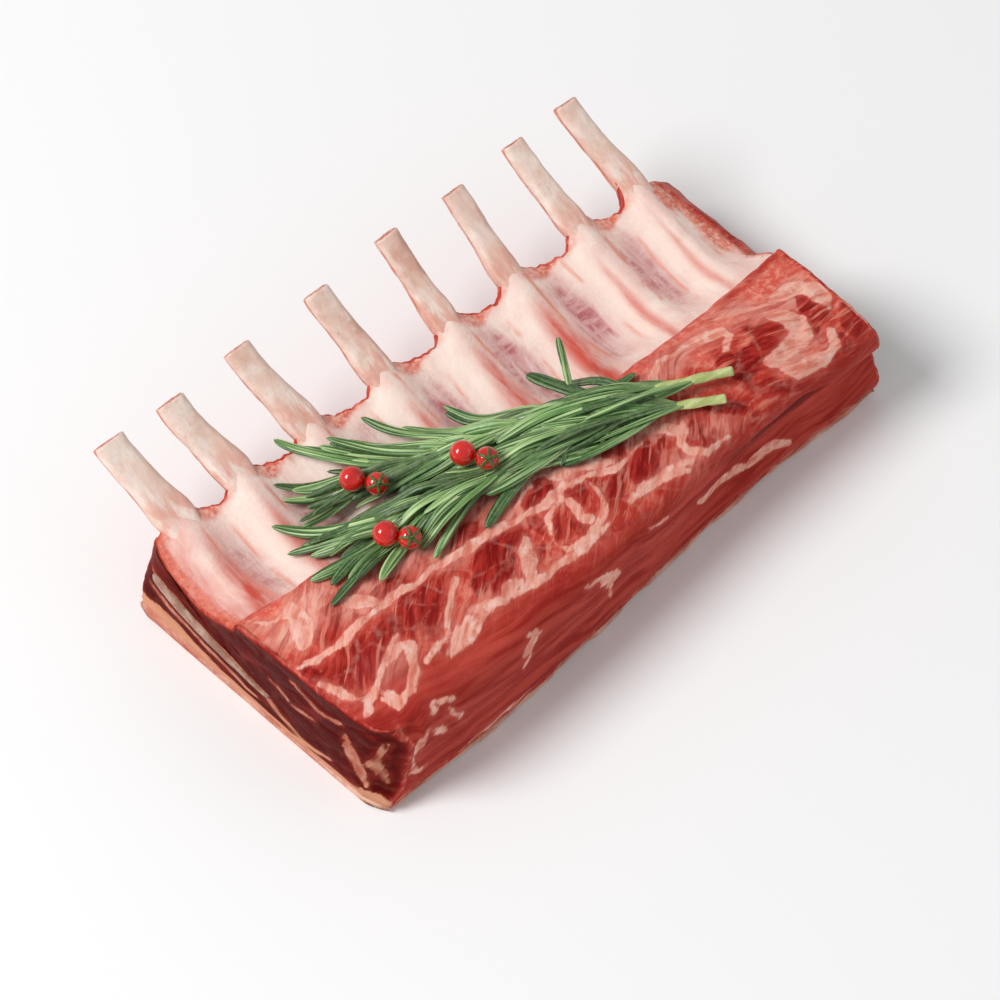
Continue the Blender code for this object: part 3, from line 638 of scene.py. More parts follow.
def meatRelief(grid, fields, down):
    x, y, z = grid[..., 0], grid[..., 1], grid[..., 2]
    deep, over, longSide = reliefDepth, fields["overRibs"], fields["longSide"]
    chine = (1 - over) * (1 - smooth(0.3, 0.7, fields["cutEnd"]))
    bulge = 1 - np.exp(-np.clip(fields["border"], 0, 9) / 1.1)
    relief = chine * (deep["bundles"] * bulge - 0.3) * mix(1.0, 0.3, longSide)
    relief = relief + chine * deep["pale"] * smooth(-1.2, 1.2, fields["pale"])
    relief = relief + chine * deep["lean"] * smooth(-1.2, 1.6, fields["lean"])
    relief = relief + chine * deep["lumps"] * layeredNoise(grid, 4.5, 11, 3)
    streakWay = np.stack([x * 0.16, down, 0 * z], -1)
    relief = relief + deep["streaks"] * longSide * layeredNoise(streakWay, 2.8, 21, 3)
    relief = relief - deep["shadedRecess"] * fields["shadedRecess"]
    ribWay = np.stack([x, y * 0.22, 0 * down], -1)
    relief = relief + over * deep["fibres"] * layeredNoise(ribWay, 2.4, 5, 3)
    relief = relief + over * deep["waves"] * layeredNoise(grid, 9.0, 6, 2)
    relief = relief + fields["lip"] * deep["lip"] * layeredNoise(grid, 2.2, 14, 3)
    cutLumps = deep["cutLumps"] * layeredNoise(grid, 4.0, 17, 3) + deep["cutBundles"] * bulge - 0.2
    return relief + smooth(0.4, 0.6, fields["cutEnd"]) * cutLumps


def gridNormals(grid):  # outward normals of a closed tube of rows
    along = np.gradient(grid, axis=0)
    around = np.roll(grid, -1, 1) - np.roll(grid, 1, 1)
    normals = np.cross(around, along)
    length = np.linalg.norm(normals, axis=2, keepdims=True)
    return normals / np.maximum(length, 1e-9)


def deselectAll():
    if bpy.context.object and bpy.context.object.mode != "OBJECT":
        bpy.ops.object.mode_set(mode="OBJECT")
    bpy.ops.object.select_all(action="DESELECT")


def meshPoints(mesh):
    flat = np.empty(len(mesh.vertices) * 3)
    mesh.vertices.foreach_get("co", flat)
    return flat.reshape(-1, 3)


def joinPieces(parts, name):
    deselectAll()
    for part in parts:
        part.select_set(True)
    bpy.context.view_layer.objects.active = parts[0]
    bpy.ops.object.join()
    joined = bpy.context.object
    joined.name = name
    joined.data.name = name
    return joined


def tubeFromGrid(name, grid, fields=None, vectors=None):  # a grid primitive, bent round into a closed skin
    rows, columns = grid.shape[:2]
    deselectAll()
    splits = {"x_subdivisions": columns, "y_subdivisions": rows - 1}
    bpy.ops.mesh.primitive_grid_add(**splits, size=2.0, location=(0, 0, 0))
    piece = bpy.context.object
    piece.name = name
    piece.data.name = name
    flat = meshPoints(piece.data)
    column = np.rint((flat[:, 0] + 1) / 2 * columns).astype(int) % columns
    row = np.rint((flat[:, 1] + 1) / 2 * (rows - 1)).astype(int)
    piece.data.vertices.foreach_set("co", (grid[row, column] * mm).ravel())
    for key, values in (fields or {}).items():
        layer = piece.data.attributes.new(key, "FLOAT", "POINT")
        layer.data.foreach_set("value", values[row, column].astype(np.float32))
    for key, values in (vectors or {}).items():
        layer = piece.data.attributes.new(key, "FLOAT_VECTOR", "POINT")
        layer.data.foreach_set("vector", values[row, column].astype(np.float32).ravel())
    bpy.ops.object.mode_set(mode="EDIT")
    bpy.ops.mesh.select_all(action="SELECT")
    bpy.ops.mesh.remove_doubles(threshold=1e-7)
    bpy.ops.mesh.normals_make_consistent(inside=False)
    bpy.ops.object.mode_set(mode="OBJECT")
    bpy.ops.object.shade_smooth()
    return piece


def mountPiece(piece, node, material):
    piece.data.materials.clear()
    piece.data.materials.append(material)
    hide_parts(node)
    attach(piece, "root")


# Shader helpers, which add to the node tree that is being drawn
drawing = {"tree": None}


def plug(socket, value):  # a link, a colour or a plain value
    if isinstance(value, bpy.types.NodeSocket):
        drawing["tree"].links.new(value, socket)
    elif socket.type == "RGBA" and isinstance(value, tuple):
        socket.default_value = (*value, 1.0)
    else:
        socket.default_value = value


def addNode(kind, inputs=None, **settings):
    node = drawing["tree"].nodes.new(kind)
    for key, value in settings.items():
        setattr(node, key, value)
    for key, value in (inputs or {}).items():
        plug(node.inputs[key], value)
    return node.outputs


def mathNode(operation, a, b=0.0):
    return addNode("ShaderNodeMath", {0: a, 1: b}, operation=operation)[0]


def plus(a, b):
    return mathNode("ADD", a, b)


def minus(a, b):
    return mathNode("SUBTRACT", a, b)


def times(a, b):
    return mathNode("MULTIPLY", a, b)


def larger(a, b):
    return mathNode("MAXIMUM", a, b)


def stepNode(value, low, high, lowOut=0.0, highOut=1.0):
    inputs = {"Value": value, "From Min": low, "From Max": high, "To Min": lowOut, "To Max": highOut}
    return addNode("ShaderNodeMapRange", inputs, interpolation_type="SMOOTHSTEP")["Result"]


def colourMix(factor, a, b):
    return addNode("ShaderNodeMix", {0: factor, 6: a, 7: b}, data_type="RGBA")[2]


def stored(name, output="Fac"):  # a value that is stored on the mesh
    return addNode("ShaderNodeAttribute", attribute_name=name, attribute_type="GEOMETRY")[output]


def stretched(vector, *scale):
    return addNode("ShaderNodeMapping", {"Vector": vector, "Scale": scale})[0]


def noiseNode(vector, scale, detail=3.0, rough=0.55, distortion=0.0):
    inputs = {"Vector": vector, "Scale": scale, "Detail": detail, "Roughness": rough}
    return addNode("ShaderNodeTexNoise", {**inputs, "Distortion": distortion})["Fac"]


def newGroup(name, inputs, outputs):
    group = bpy.data.node_groups.new(name, "ShaderNodeTree")
    for label, value in inputs.items():
        kind = "NodeSocketVector" if value is None else "NodeSocketFloat"
        socket = group.interface.new_socket(label, in_out="INPUT", socket_type=kind)
        if value is not None:
            socket.default_value = value
    for label in outputs:
        group.interface.new_socket(label, in_out="OUTPUT", socket_type="NodeSocketFloat")
    drawing["tree"] = group
    return group, group.nodes.new("NodeGroupInput").outputs, group.nodes.new("NodeGroupOutput").inputs


def fillGroup(group, **inputs):
    node = drawing["tree"].nodes.new("ShaderNodeGroup")
    node.node_tree = group
    for key, value in inputs.items():
        plug(node.inputs[key], value)
    return node.outputs


# Effects that several materials share
def buildFibreGroup():  # fine streaks that run along one way of the pattern
    inputs = {"Vector": None, "Scale": 300.0, "Rough": 0.6}
    group, given, out = newGroup("Fibres", inputs, ["Streak", "Height"])
    wide = noiseNode(given["Vector"], given["Scale"], 3.0, given["Rough"], 0.4)
    plug(out["Streak"], stepNode(wide, 0.38, 0.66))
    plug(out["Height"], wide)
    return group


def buildEdgeGroup():  # a torn, uneven edge for a mark whose distance is stored on the mesh
    inputs = {"Distance": 0.0, "Vector": None, "Scale": 600.0, "Ragged": 1.0, "Softness": 0.35}
    group, given, out = newGroup("Ragged edge", inputs, ["Mask"])
    rough = noiseNode(given["Vector"], given["Scale"], 3.0, 0.62)
    moved = plus(given["Distance"], times(minus(rough, 0.5), given["Ragged"]))
    plug(out["Mask"], stepNode(mathNode("DIVIDE", moved, given["Softness"]), -1.0, 1.0))
    return group


def buildFleckGroup():  # small spots of another colour
    inputs = {"Vector": None, "Scale": 500.0, "Low": 0.6, "High": 0.72}
    group, given, out = newGroup("Flecks", inputs, ["Mask"])
    spots = noiseNode(given["Vector"], given["Scale"], 2.0, 0.6)
    plug(out["Mask"], stepNode(spots, given["Low"], given["High"]))
    return group


fibres = buildFibreGroup()
raggedEdge = buildEdgeGroup()
flecks = buildFleckGroup()


def streaks(vector, scale, rough=0.6):
    return fillGroup(fibres, Vector=vector, Scale=scale, Rough=rough)


def tornEdge(distance, vector, scale, ragged, softness):
    shape = {"Scale": scale, "Ragged": ragged, "Softness": softness}
    return fillGroup(raggedEdge, Distance=distance, Vector=vector, **shape)[0]


def spots(vector, scale, low, high):
    return fillGroup(flecks, Vector=vector, Scale=scale, Low=low, High=high)[0]


def newMaterial(name, roughness, coat=0.0, coatRoughness=0.1):
    material = bpy.data.materials.new(name)
    material.use_nodes = True
    drawing["tree"] = material.node_tree
    shader = material.node_tree.nodes["Principled BSDF"].inputs
    shader["Roughness"].default_value = roughness
    shader["Coat Weight"].default_value = coat
    shader["Coat Roughness"].default_value = coatRoughness
    return material, shader, addNode("ShaderNodeTexCoord")["Object"]


def wireSurface(shader, colour, roughness, height, strength, distance=0.0006):
    plug(shader["Base Color"], colour)
    plug(shader["Roughness"], roughness)
    bump = addNode("ShaderNodeBump", {"Height": height, "Strength": strength, "Distance": distance})
    plug(shader["Normal"], bump["Normal"])


# Colours are linear values
meatColours = {
    "deep": (0.215, 0.009, 0.008), "lean": (0.42, 0.030, 0.022), "bright": (0.60, 0.075, 0.050),
    "fat": (0.84, 0.42, 0.33), "fatPale": (0.90, 0.60, 0.51), "sinew": (0.70, 0.22, 0.155),
    "pinkFat": (0.60, 0.115, 0.085), "coral": (0.68, 0.105, 0.075), "coralPale": (0.80, 0.29, 0.21),
    "cream": (0.92, 0.76, 0.67), "skin": (0.89, 0.63, 0.56), "mauve": (0.50, 0.14, 0.15),
    "mauvePale": (0.82, 0.55, 0.53), "shadedMaroon": (0.085, 0.004, 0.003), "shadedMaroonLight": (0.20, 0.012, 0.008),
    "shadedRecess": (0.15, 0.014, 0.010), "torn": (0.66, 0.13, 0.075), "side": (0.50, 0.050, 0.036),
    "sideDark": (0.31, 0.022, 0.017), "shadedCutFat": (0.42, 0.11, 0.065), "shadedCutPink": (0.27, 0.026, 0.018),
    "cutEdge": (0.30, 0.020, 0.014), "valley": (0.61, 0.085, 0.058), "shadedCutFatPale": (0.56, 0.24, 0.16),
    "capFat": (0.66, 0.30, 0.18), "dampGrey": (0.30, 0.30, 0.30), "dryGrey": (0.46, 0.46, 0.46),
}
meatScales = {  # of each pattern, as repeats in a metre
    "grain": 620.0, "patches": 105.0, "fine": 900.0, "specks": 1500.0, "bundles": 520.0, "longSide": 240.0,
    "coral": 420.0, "edge": 640.0, "around": 300.0, "border": 420.0, "fat": 520.0, "clouds": 260.0,
    "ribs": 330.0, "across": 430.0, "skin": 150.0, "mauve": 190.0, "hair": 90.0, "cut": 150.0,
    "cutRagged": 200.0,
}


def buildMeatMaterial():
    material, shader, body = newMaterial("Raw lamb", 0.4, 0.0, 0.28)
    shader["Specular IOR Level"].default_value = 0.012
    place = stored("surfacePlace", "Vector")
    c, scale = meatColours, meatScales
    over = stored("overRibs")
    side = stored("longSide")
    cutRagged = times(minus(noiseNode(body, scale["cutRagged"], 3.0, 0.6), 0.5), 0.8)
    cutEnd = stepNode(plus(stored("cutEnd"), cutRagged), 0.50, 0.80)

    # Muscle between the bundles, in fibres that follow them
    grainPlace = stored("grainPlace", "Vector")
    fibreWay = stretched(grainPlace, 0.2, 1.0, 1.0)
    grain = streaks(fibreWay, scale["grain"])["Height"]
    strands = streaks(stretched(grainPlace, 0.11, 1.0, 1.0), scale["grain"], 0.5)["Height"]
    fine = noiseNode(body, scale["fine"], 3.0, 0.6)
    shade = plus(times(noiseNode(place, scale["patches"], 3.0, 0.6), 0.7), times(grain, 0.6))
    lean = colourMix(stepNode(shade, 0.50, 0.82), c["lean"], c["bright"])
    lean = colourMix(times(stepNode(shade, 0.66, 0.84), 0.6), lean, c["coralPale"])
    lean = colourMix(times(stored("sinewy"), stepNode(grain, 0.38, 0.56, 0.35, 1.0)), lean, c["fat"])
    lean = colourMix(times(spots(fibreWay, scale["specks"], 0.60, 0.70), 0.45), lean, c["coralPale"])

    # Dark bundles with thin pale strands in them
    inBundle = tornEdge(stored("lean"), fibreWay, scale["bundles"], 2.2, 0.45)
    bundleColour = colourMix(stepNode(grain, 0.40, 0.64), c["deep"], c["lean"])
    lean = colourMix(times(inBundle, stored("leanStrength")), lean, bundleColour)
    lean = colourMix(times(stepNode(strands, 0.56, 0.68), 0.75), lean, c["sinew"])

    # Long side: smooth red with long streaks
    longGrain = streaks(stretched(place, 0.13, 1.0, 1.0), scale["longSide"])
    sideColour = colourMix(stepNode(longGrain["Height"], 0.3, 0.72), c["sideDark"], c["side"])
    sideColour = colourMix(times(longGrain["Streak"], 0.12), sideColour, c["sinew"])
    lean = colourMix(side, lean, sideColour)

    # Coral parts near the chine line
    coralGrain = noiseNode(place, scale["coral"], 4.0, 0.65)
    coral = colourMix(stepNode(coralGrain, 0.42, 0.66), c["coral"], c["coralPale"])
    lean = colourMix(times(stored("coral"), minus(1.0, over)), lean, coral)

    # Fat and sinew, with a soft pink border
    pale = stored("pale")
    edge = tornEdge(pale, fibreWay, scale["edge"], 2.0, 0.36)
    around = tornEdge(plus(pale, 0.7), fibreWay, scale["around"], 2.6, 0.8)
    border = tornEdge(minus(0.12, stored("border")), body, scale["border"], 1.4, 0.30)
    fatShade = noiseNode(fibreWay, scale["fat"], 4.0, 0.65)
    fatCloud = noiseNode(body, scale["clouds"], 3.0, 0.6)
    fat = colourMix(stepNode(fatShade, 0.36, 0.62), c["sinew"], c["fat"])
    fat = colourMix(stepNode(fatCloud, 0.48, 0.70, 0.0, 0.7), fat, c["fatPale"])
    notSide = stepNode(side, 0.0, 0.9, 1.0, 0.0)
    lean = colourMix(times(around, stepNode(side, 0.0, 1.0, 0.40, 0.25)), lean, c["pinkFat"])
    fatShow = times(edge, stepNode(fatShade, 0.30, 0.50, 0.72, 1.0))
    fatMask = larger(fatShow, times(border, times(notSide, 0.22)))
    chine = colourMix(fatMask, lean, fat)
    # Painted shade in the groove under the overhanging chine
    chine = colourMix(stored("shadedRecess"), chine, c["shadedRecess"])

    # Membrane over the ribs
    ribGrain = streaks(stretched(body, 1.0, 0.14, 0.4), scale["ribs"])
    crossGrain = streaks(stretched(body, 0.3, 1.0, 0.4), scale["across"])
    skin = colourMix(stepNode(noiseNode(body, scale["skin"]), 0.35, 0.65), c["skin"], c["cream"])
    skin = colourMix(times(ribGrain["Streak"], 0.35), skin, c["skin"])
    mauveStreak = larger(times(crossGrain["Streak"], 0.7), ribGrain["Streak"])
    mauve = colourMix(mauveStreak, c["mauve"], c["mauvePale"])
    mauveNoise = noiseNode(stretched(body, 1.0, 0.5, 1.0), scale["mauve"], 4.0, 0.65)
    skin = colourMix(stepNode(plus(stored("mauve"), times(mauveNoise, 0.9)), 0.62, 1.25), skin, mauve)
    # Cream bands left of each rib: the membrane's pale colour, partly painted highlight
    skin = colourMix(times(stored("cream"), 0.85), skin, c["cream"])
    redLine = times(stored("coral"), stepNode(ribGrain["Height"], 0.3, 0.6, 0.55, 1.0))
    skin = colourMix(redLine, skin, c["valley"])
    hair = times(stored("ribLine"), stepNode(noiseNode(body, scale["hair"], 2.0), 0.42, 0.60))
    skin = colourMix(hair, skin, c["coralPale"])
    tornColour = colourMix(stepNode(coralGrain, 0.42, 0.62), c["torn"], c["coralPale"])
    skin = colourMix(times(stored("lip"), stepNode(fine, 0.35, 0.55, 0.55, 1.0)), skin, tornColour)
    meat = colourMix(over, chine, skin)

    # Cut ends: the cut meat's own dark red, with all the cut-end colours painted darker still as the shade of
    # the end face
    cutGrain = streaks(stretched(body, 1.0, 0.3, 1.0), scale["cut"])["Height"]
    cut = colourMix(stepNode(cutGrain, 0.46, 0.72), c["shadedMaroon"], c["shadedMaroonLight"])
    cut = colourMix(times(around, 0.5), cut, c["shadedCutPink"])
    # Fat on the cut end is painted darker as shade, except a low band in the fat cap's own lighter colour
    low = stepNode(addNode("ShaderNodeSeparateXYZ", {0: body})["Z"], 0.008, 0.012)
    shadedCutFat = colourMix(stepNode(fatCloud, 0.36, 0.62), c["shadedCutFat"], c["shadedCutFatPale"])
    shadedCutFat = colourMix(low, c["capFat"], shadedCutFat)
    cut = colourMix(stepNode(stored("cutEnd"), 1.0, 0.70, 0.0, 0.8), cut, c["cutEdge"])
    cut = colourMix(larger(edge, times(border, 0.08)), cut, shadedCutFat)
    colour = colourMix(cutEnd, meat, cut)
    colour = colourMix(times(stored("endRim"), stepNode(fine, 0.35, 0.6, 0.2, 0.8)), colour, c["torn"])

    plug(shader["Coat Weight"], times(minus(1.0, cutEnd), times(notSide, 0.10)))
    rough = plus(colourMix(fatMask, c["dampGrey"], c["dryGrey"]), times(minus(fine, 0.5), 0.25))
    height = plus(plus(times(grain, 0.5), times(fine, 0.6)), times(fatMask, 0.06))
    height = plus(height, times(times(ribGrain["Height"], over), 0.9))
    wireSurface(shader, colour, rough, height, 0.5, 0.0005)
    return material


capColours = {"deep": (0.60, 0.20, 0.12), "pale": (0.80, 0.48, 0.35), "streak": (0.48, 0.09, 0.055)}


def buildFatMaterial():
    material, shader, body = newMaterial("Cream fat", 0.48, 0.06, 0.3)
    lumps = noiseNode(body, 120.0, 4.0, 0.6)
    streak = streaks(stretched(body, 0.25, 0.6, 1.0), 360.0)
    colour = colourMix(stepNode(lumps, 0.36, 0.66), capColours["deep"], capColours["pale"])
    colour = colourMix(times(streak["Streak"], 0.55), colour, capColours["streak"])
    wireSurface(shader, colour, stepNode(lumps, 0.3, 0.7, 0.36, 0.52), plus(lumps, streak["Height"]), 0.45)
    return material


gristleColours = {"deep": (0.30, 0.16, 0.11), "pale": (0.50, 0.34, 0.26), "spot": (0.34, 0.07, 0.05)}


def buildGristleMaterial():
    material, shader, body = newMaterial("Grey gristle", 0.45)
    cloud = noiseNode(body, 200.0, 4.0, 0.6)
    shader["Specular IOR Level"].default_value = 0.05
    colour = colourMix(stepNode(cloud, 0.35, 0.65), gristleColours["deep"], gristleColours["pale"])
    colour = colourMix(times(spots(body, 700.0, 0.52, 0.64), 0.5), colour, gristleColours["spot"])
    wireSurface(shader, colour, stepNode(cloud, 0.3, 0.7, 0.3, 0.45), cloud, 0.3)
    return material


boneColours = {
    "deep": (0.84, 0.61, 0.50), "pale": (0.92, 0.79, 0.70), "streak": (0.76, 0.44, 0.34),
    "stain": (0.68, 0.35, 0.26), "brown": (0.58, 0.26, 0.18), "flank": (0.62, 0.15, 0.06),
    "foot": (0.74, 0.26, 0.19), "marrow": (0.48, 0.07, 0.035), "marrowPale": (0.74, 0.36, 0.25),
}


def buildBoneMaterial():
    material, shader, body = newMaterial("Scraped bone", 0.48, 0.12, 0.3)
    c = boneColours
    streak = streaks(stretched(body, 1.0, 0.14, 0.6), 420.0)
    clouds = noiseNode(body, 130.0, 4.0, 0.62)
    zone = stepNode(noiseNode(body, 62.0, 2.0), 0.46, 0.62)
    colour = colourMix(stepNode(clouds, 0.36, 0.64), c["deep"], c["pale"])
    colour = colourMix(times(streak["Streak"], 0.28), colour, c["streak"])
    stain = noiseNode(stretched(body, 1.0, 0.4, 1.0), 110.0, 4.0, 0.65)
    stain = times(stepNode(stain, 0.44, 0.64, 0.15, 0.95), stored("stained"))
    colour = colourMix(stain, colour, c["stain"])
    brown = times(spots(stretched(body, 1.0, 0.45, 1.0), 800.0, 0.56, 0.74), zone)
    colour = colourMix(times(brown, 0.40), colour, c["brown"])
    red = times(tornEdge(stored("flank"), body, 300.0, 1.1, 0.28), stepNode(clouds, 0.40, 0.58, 0.25, 0.9))
    colour = colourMix(red, colour, c["flank"])
    foot = times(stored("foot"), stepNode(streak["Height"], 0.36, 0.6))
    colour = colourMix(times(foot, 0.55), colour, c["foot"])
    marrow = colourMix(spots(body, 900.0, 0.44, 0.6), c["marrow"], c["marrowPale"])
    colour = colourMix(stored("sawnEnd"), colour, marrow)
    wireSurface(shader, colour, stepNode(clouds, 0.3, 0.7, 0.40, 0.56), plus(clouds, streak["Height"]), 0.4)
    return material


leafColours = {
    "deep": (0.010, 0.050, 0.008), "green": (0.16, 0.34, 0.09), "dull": (0.20, 0.36, 0.13),
    # the light streaks are painted highlight and the shade streaks painted shade, both running along the
    # needles; the under colour is painted shade on the undersides
    "paleLineAndHighlight": (0.60, 0.76, 0.36), "shade": (0.012, 0.055, 0.010), "under": (0.020, 0.070, 0.014),
    "root": (0.40, 0.52, 0.20),
}


def buildLeafMaterial():
    material, shader, body = newMaterial("Rosemary leaf", 0.42, 0.18, 0.28)
    c = leafColours
    across, tone, along = stored("across"), stored("tone"), stored("along")
    fine = noiseNode(body, 800.0, 3.0, 0.6)
    lengthwise = addNode("ShaderNodeCombineXYZ", {0: times(along, 0.5), 1: across, 2: times(tone, 9.0)})[0]
    streak = noiseNode(lengthwise, 3.2, 2.0, 0.5)
    base = colourMix(tone, c["deep"], c["green"])
    base = colourMix(stepNode(fine, 0.40, 0.70, 0.0, 0.30), base, c["dull"])
    # A pale line down the middle and painted highlight streaks along each needle, weaker on darker needles,
    # then painted shade between the streaks
    rib = stepNode(mathNode("ABSOLUTE", across), 0.16, 0.04)
    paleLineAndHighlight = larger(times(rib, 0.35), times(stepNode(streak, 0.50, 0.62), 0.90))
    paleLineAndHighlight = times(paleLineAndHighlight, stepNode(tone, 0.0, 0.7, 0.22, 1.0))
    colour = colourMix(paleLineAndHighlight, base, c["paleLineAndHighlight"])
    colour = colourMix(times(stepNode(streak, 0.47, 0.38), 0.75), colour, c["shade"])
    # Painted shade on the needles' undersides
    colour = colourMix(times(stored("under"), 0.85), colour, c["under"])
    colour = colourMix(stepNode(along, 0.30, 0.0, 0.0, 0.5), colour, c["root"])
    rough = stepNode(fine, 0.3, 0.7, 0.36, 0.52)
    wireSurface(shader, colour, rough, plus(times(rib, -0.6), fine), 0.4, 0.0003)
    return material


stemColours = {"cut": (0.42, 0.50, 0.16), "cutPale": (0.66, 0.70, 0.32), "green": (0.20, 0.33, 0.10)}


def buildStemMaterial():
    material, shader, body = newMaterial("Rosemary stem", 0.5, 0.1, 0.3)
    streak = streaks(stretched(body, 0.3, 1.0, 1.0), 500.0)
    colour = colourMix(streak["Streak"], stemColours["cut"], stemColours["cutPale"])
    colour = colourMix(stepNode(stored("along"), 0.18, 0.5), colour, stemColours["green"])
    rough = stepNode(streak["Height"], 0.3, 0.7, 0.42, 0.58)
    wireSurface(shader, colour, rough, streak["Height"], 0.5, 0.0003)
    return material


tomatoColours = {"deep": (0.50, 0.005, 0.003), "bright": (0.70, 0.013, 0.006), "speck": (0.80, 0.16, 0.08)}


def buildTomatoMaterial():
    material, shader, body = newMaterial("Tomato skin", 0.14, 0.9, 0.05)
    cloud = noiseNode(body, 260.0, 3.0, 0.5)
    colour = colourMix(stepNode(cloud, 0.35, 0.65), tomatoColours["deep"], tomatoColours["bright"])
    colour = colourMix(times(spots(body, 2600.0, 0.66, 0.74), 0.25), colour, tomatoColours["speck"])
    wireSurface(shader, colour, stepNode(cloud, 0.3, 0.7, 0.10, 0.2), cloud, 0.08, 0.0002)
    return material


starColours = {"deep": (0.025, 0.08, 0.012), "green": (0.10, 0.20, 0.03)}


def buildStarMaterial():
    material, shader, body = newMaterial("Tomato star", 0.5)
    fine = noiseNode(body, 1400.0, 3.0, 0.6)
    colour = colourMix(stepNode(fine, 0.35, 0.65), starColours["deep"], starColours["green"])
    wireSurface(shader, colour, stepNode(fine, 0.3, 0.7, 0.45, 0.62), fine, 0.5, 0.0002)
    return material


finishes = {
    "meat": buildMeatMaterial(), "fat": buildFatMaterial(), "gristle": buildGristleMaterial(),
    "bone": buildBoneMaterial(), "leaf": buildLeafMaterial(), "stem": buildStemMaterial(),
    "tomato": buildTomatoMaterial(), "star": buildStarMaterial(),
}
print("materials made")

# Meat
grid, cut, zones = meatGrid()
fields, down, grainPlace = meatFields(grid, cut, zones)
grid = grid + gridNormals(grid) * meatRelief(grid, fields, down)[..., None]
grid = closePoles(grid)
place = np.stack([grid[..., 0], down, 0 * down], -1) * mm
meat = tubeFromGrid("meatBody", grid, fields, {"surfacePlace": place, "grainPlace": grainPlace})
mountPiece(meat, "meat", finishes["meat"])
print("meat made", len(meat.data.polygons))

# Fat cap under the meat
fatCap = {
    "rowSpacing": 1.1, "around": 96, "inset": 0.6, "sideRound": 0.45, "topRound": 0.5, "slant": 1.4,
    "lumps": 1.1,
}


def fatGrid():
    start, stop = rack["shoulderX"] + fatCap["inset"], rack["loinX"] - fatCap["inset"]
    station = np.linspace(start, stop, int((stop - start) / fatCap["rowSpacing"]))[:, None]
    near, far = sideLine(station) + 0.1, wallFoot(station)
    turn = circle(fatCap["around"])[None, :]
    across = rounded(np.cos(turn), fatCap["sideRound"])
    y = (near + far) / 2 + across * (far - near) / 2
    top = fatTop(y)
    z = top / 2 + rounded(np.sin(turn), fatCap["topRound"]) * top / 2
    slant = smooth(0.55, 1.0, -np.sin(turn) * np.abs(across))
    y = y - across * slant * fatCap["slant"]
    x = fittedX(station + 0 * y, y, z)
    rings = np.stack([x, y, z], -1)

    def closed(ring, inward):
        middle = ring.mean(axis=0)
        built = []
        for k in range(1, 13):
            f = k / 12
            spot = ring + (middle - ring) * f
            spot[:, 0] -= inward * 0.25 * math.sin(math.pi * f)
            built.append(spot)
        return np.array(built)

    grid = np.concatenate([closed(rings[0], 1)[::-1], rings, closed(rings[-1], -1)])
    side = (np.abs(grid[..., 2]) > 0.4) & (grid[..., 2] < fatTop(grid[..., 1]) - 0.15)
    relief = (fatCap["lumps"] * layeredNoise(grid, 7.0, 40, 3) - 0.1) * side
    return grid + gridNormals(grid) * relief[..., None]


fatLayer = fatGrid()
fatLayer[..., 2] = np.maximum(fatLayer[..., 2], 0.0)
fat = tubeFromGrid("fatLayer", fatLayer)
mountPiece(fat, "fat_cap", finishes["fat"])
print("fat made", len(fat.data.polygons))

# Gristle of the shoulder blade
gristleShape = {"y": (-12.0, 34.5), "z": (15.0, 20.5), "thick": (2.0, 5.6), "depth": 42.0, "proud": 0.5}


def gristleGrid():
    turn = circle(64)
    rings = []
    for depth in [0.0, 0.004, 0.01, 0.02] + list(np.linspace(0.04, 1.0, 24)):
        low, high = gristleShape["y"][0] + 8 * depth, gristleShape["y"][1] - 5 * depth
        t = (1 - np.cos(turn)) / 2
        y = mix(low, high, t)
        thick = mix(*gristleShape["thick"], t) * (1 - 0.55 * depth)
        inset = 1.0 - 0.06 * (1 - smooth(0.0, 0.02, depth))
        z = mix(*gristleShape["z"], t) + inset * rounded(np.sin(turn), 0.5) * thick / 2
        face = shoulderX(y, z) - gristleShape["proud"]
        rings.append(np.stack([face + gristleShape["depth"] * depth, y, z], -1))
    first = rings[0]
    middle = first.mean(axis=0)
    capStart = []
    for f in np.linspace(1, 0.08, 14):
        spot = first + (middle - first) * f
        spot[:, 0] = shoulderX(spot[:, 1], spot[:, 2]) - gristleShape["proud"] - 0.12 * math.sin(math.pi * f)
        capStart.append(spot)
    last = rings[-1]
    capEnd = [last + (last.mean(axis=0) - last) * f for f in (0.5, 1.0)]
    grid = np.concatenate([np.array(capStart), np.array(rings), np.array(capEnd)])
    grid[0] = grid[0].mean(axis=0)
    return grid + gridNormals(grid) * (0.18 * layeredNoise(grid, 3.0, 50, 3))[..., None]


gristle = tubeFromGrid("shoulderGristle", closePoles(gristleGrid()))
mountPiece(gristle, "blade_gristle", finishes["gristle"])
print("gristle made")

# Rib bones
boneShape = {
    "rootY": -3.0, "baseY": 37.0, "rings": 110, "around": 44, "power": 0.62, "waver": 0.45, "scrape": 0.16,
    "stained": (0.1, 0.3, 0.4, 1.0, 0.9, 0.5, 0.2, 0.5),  # how pink each bone is
}


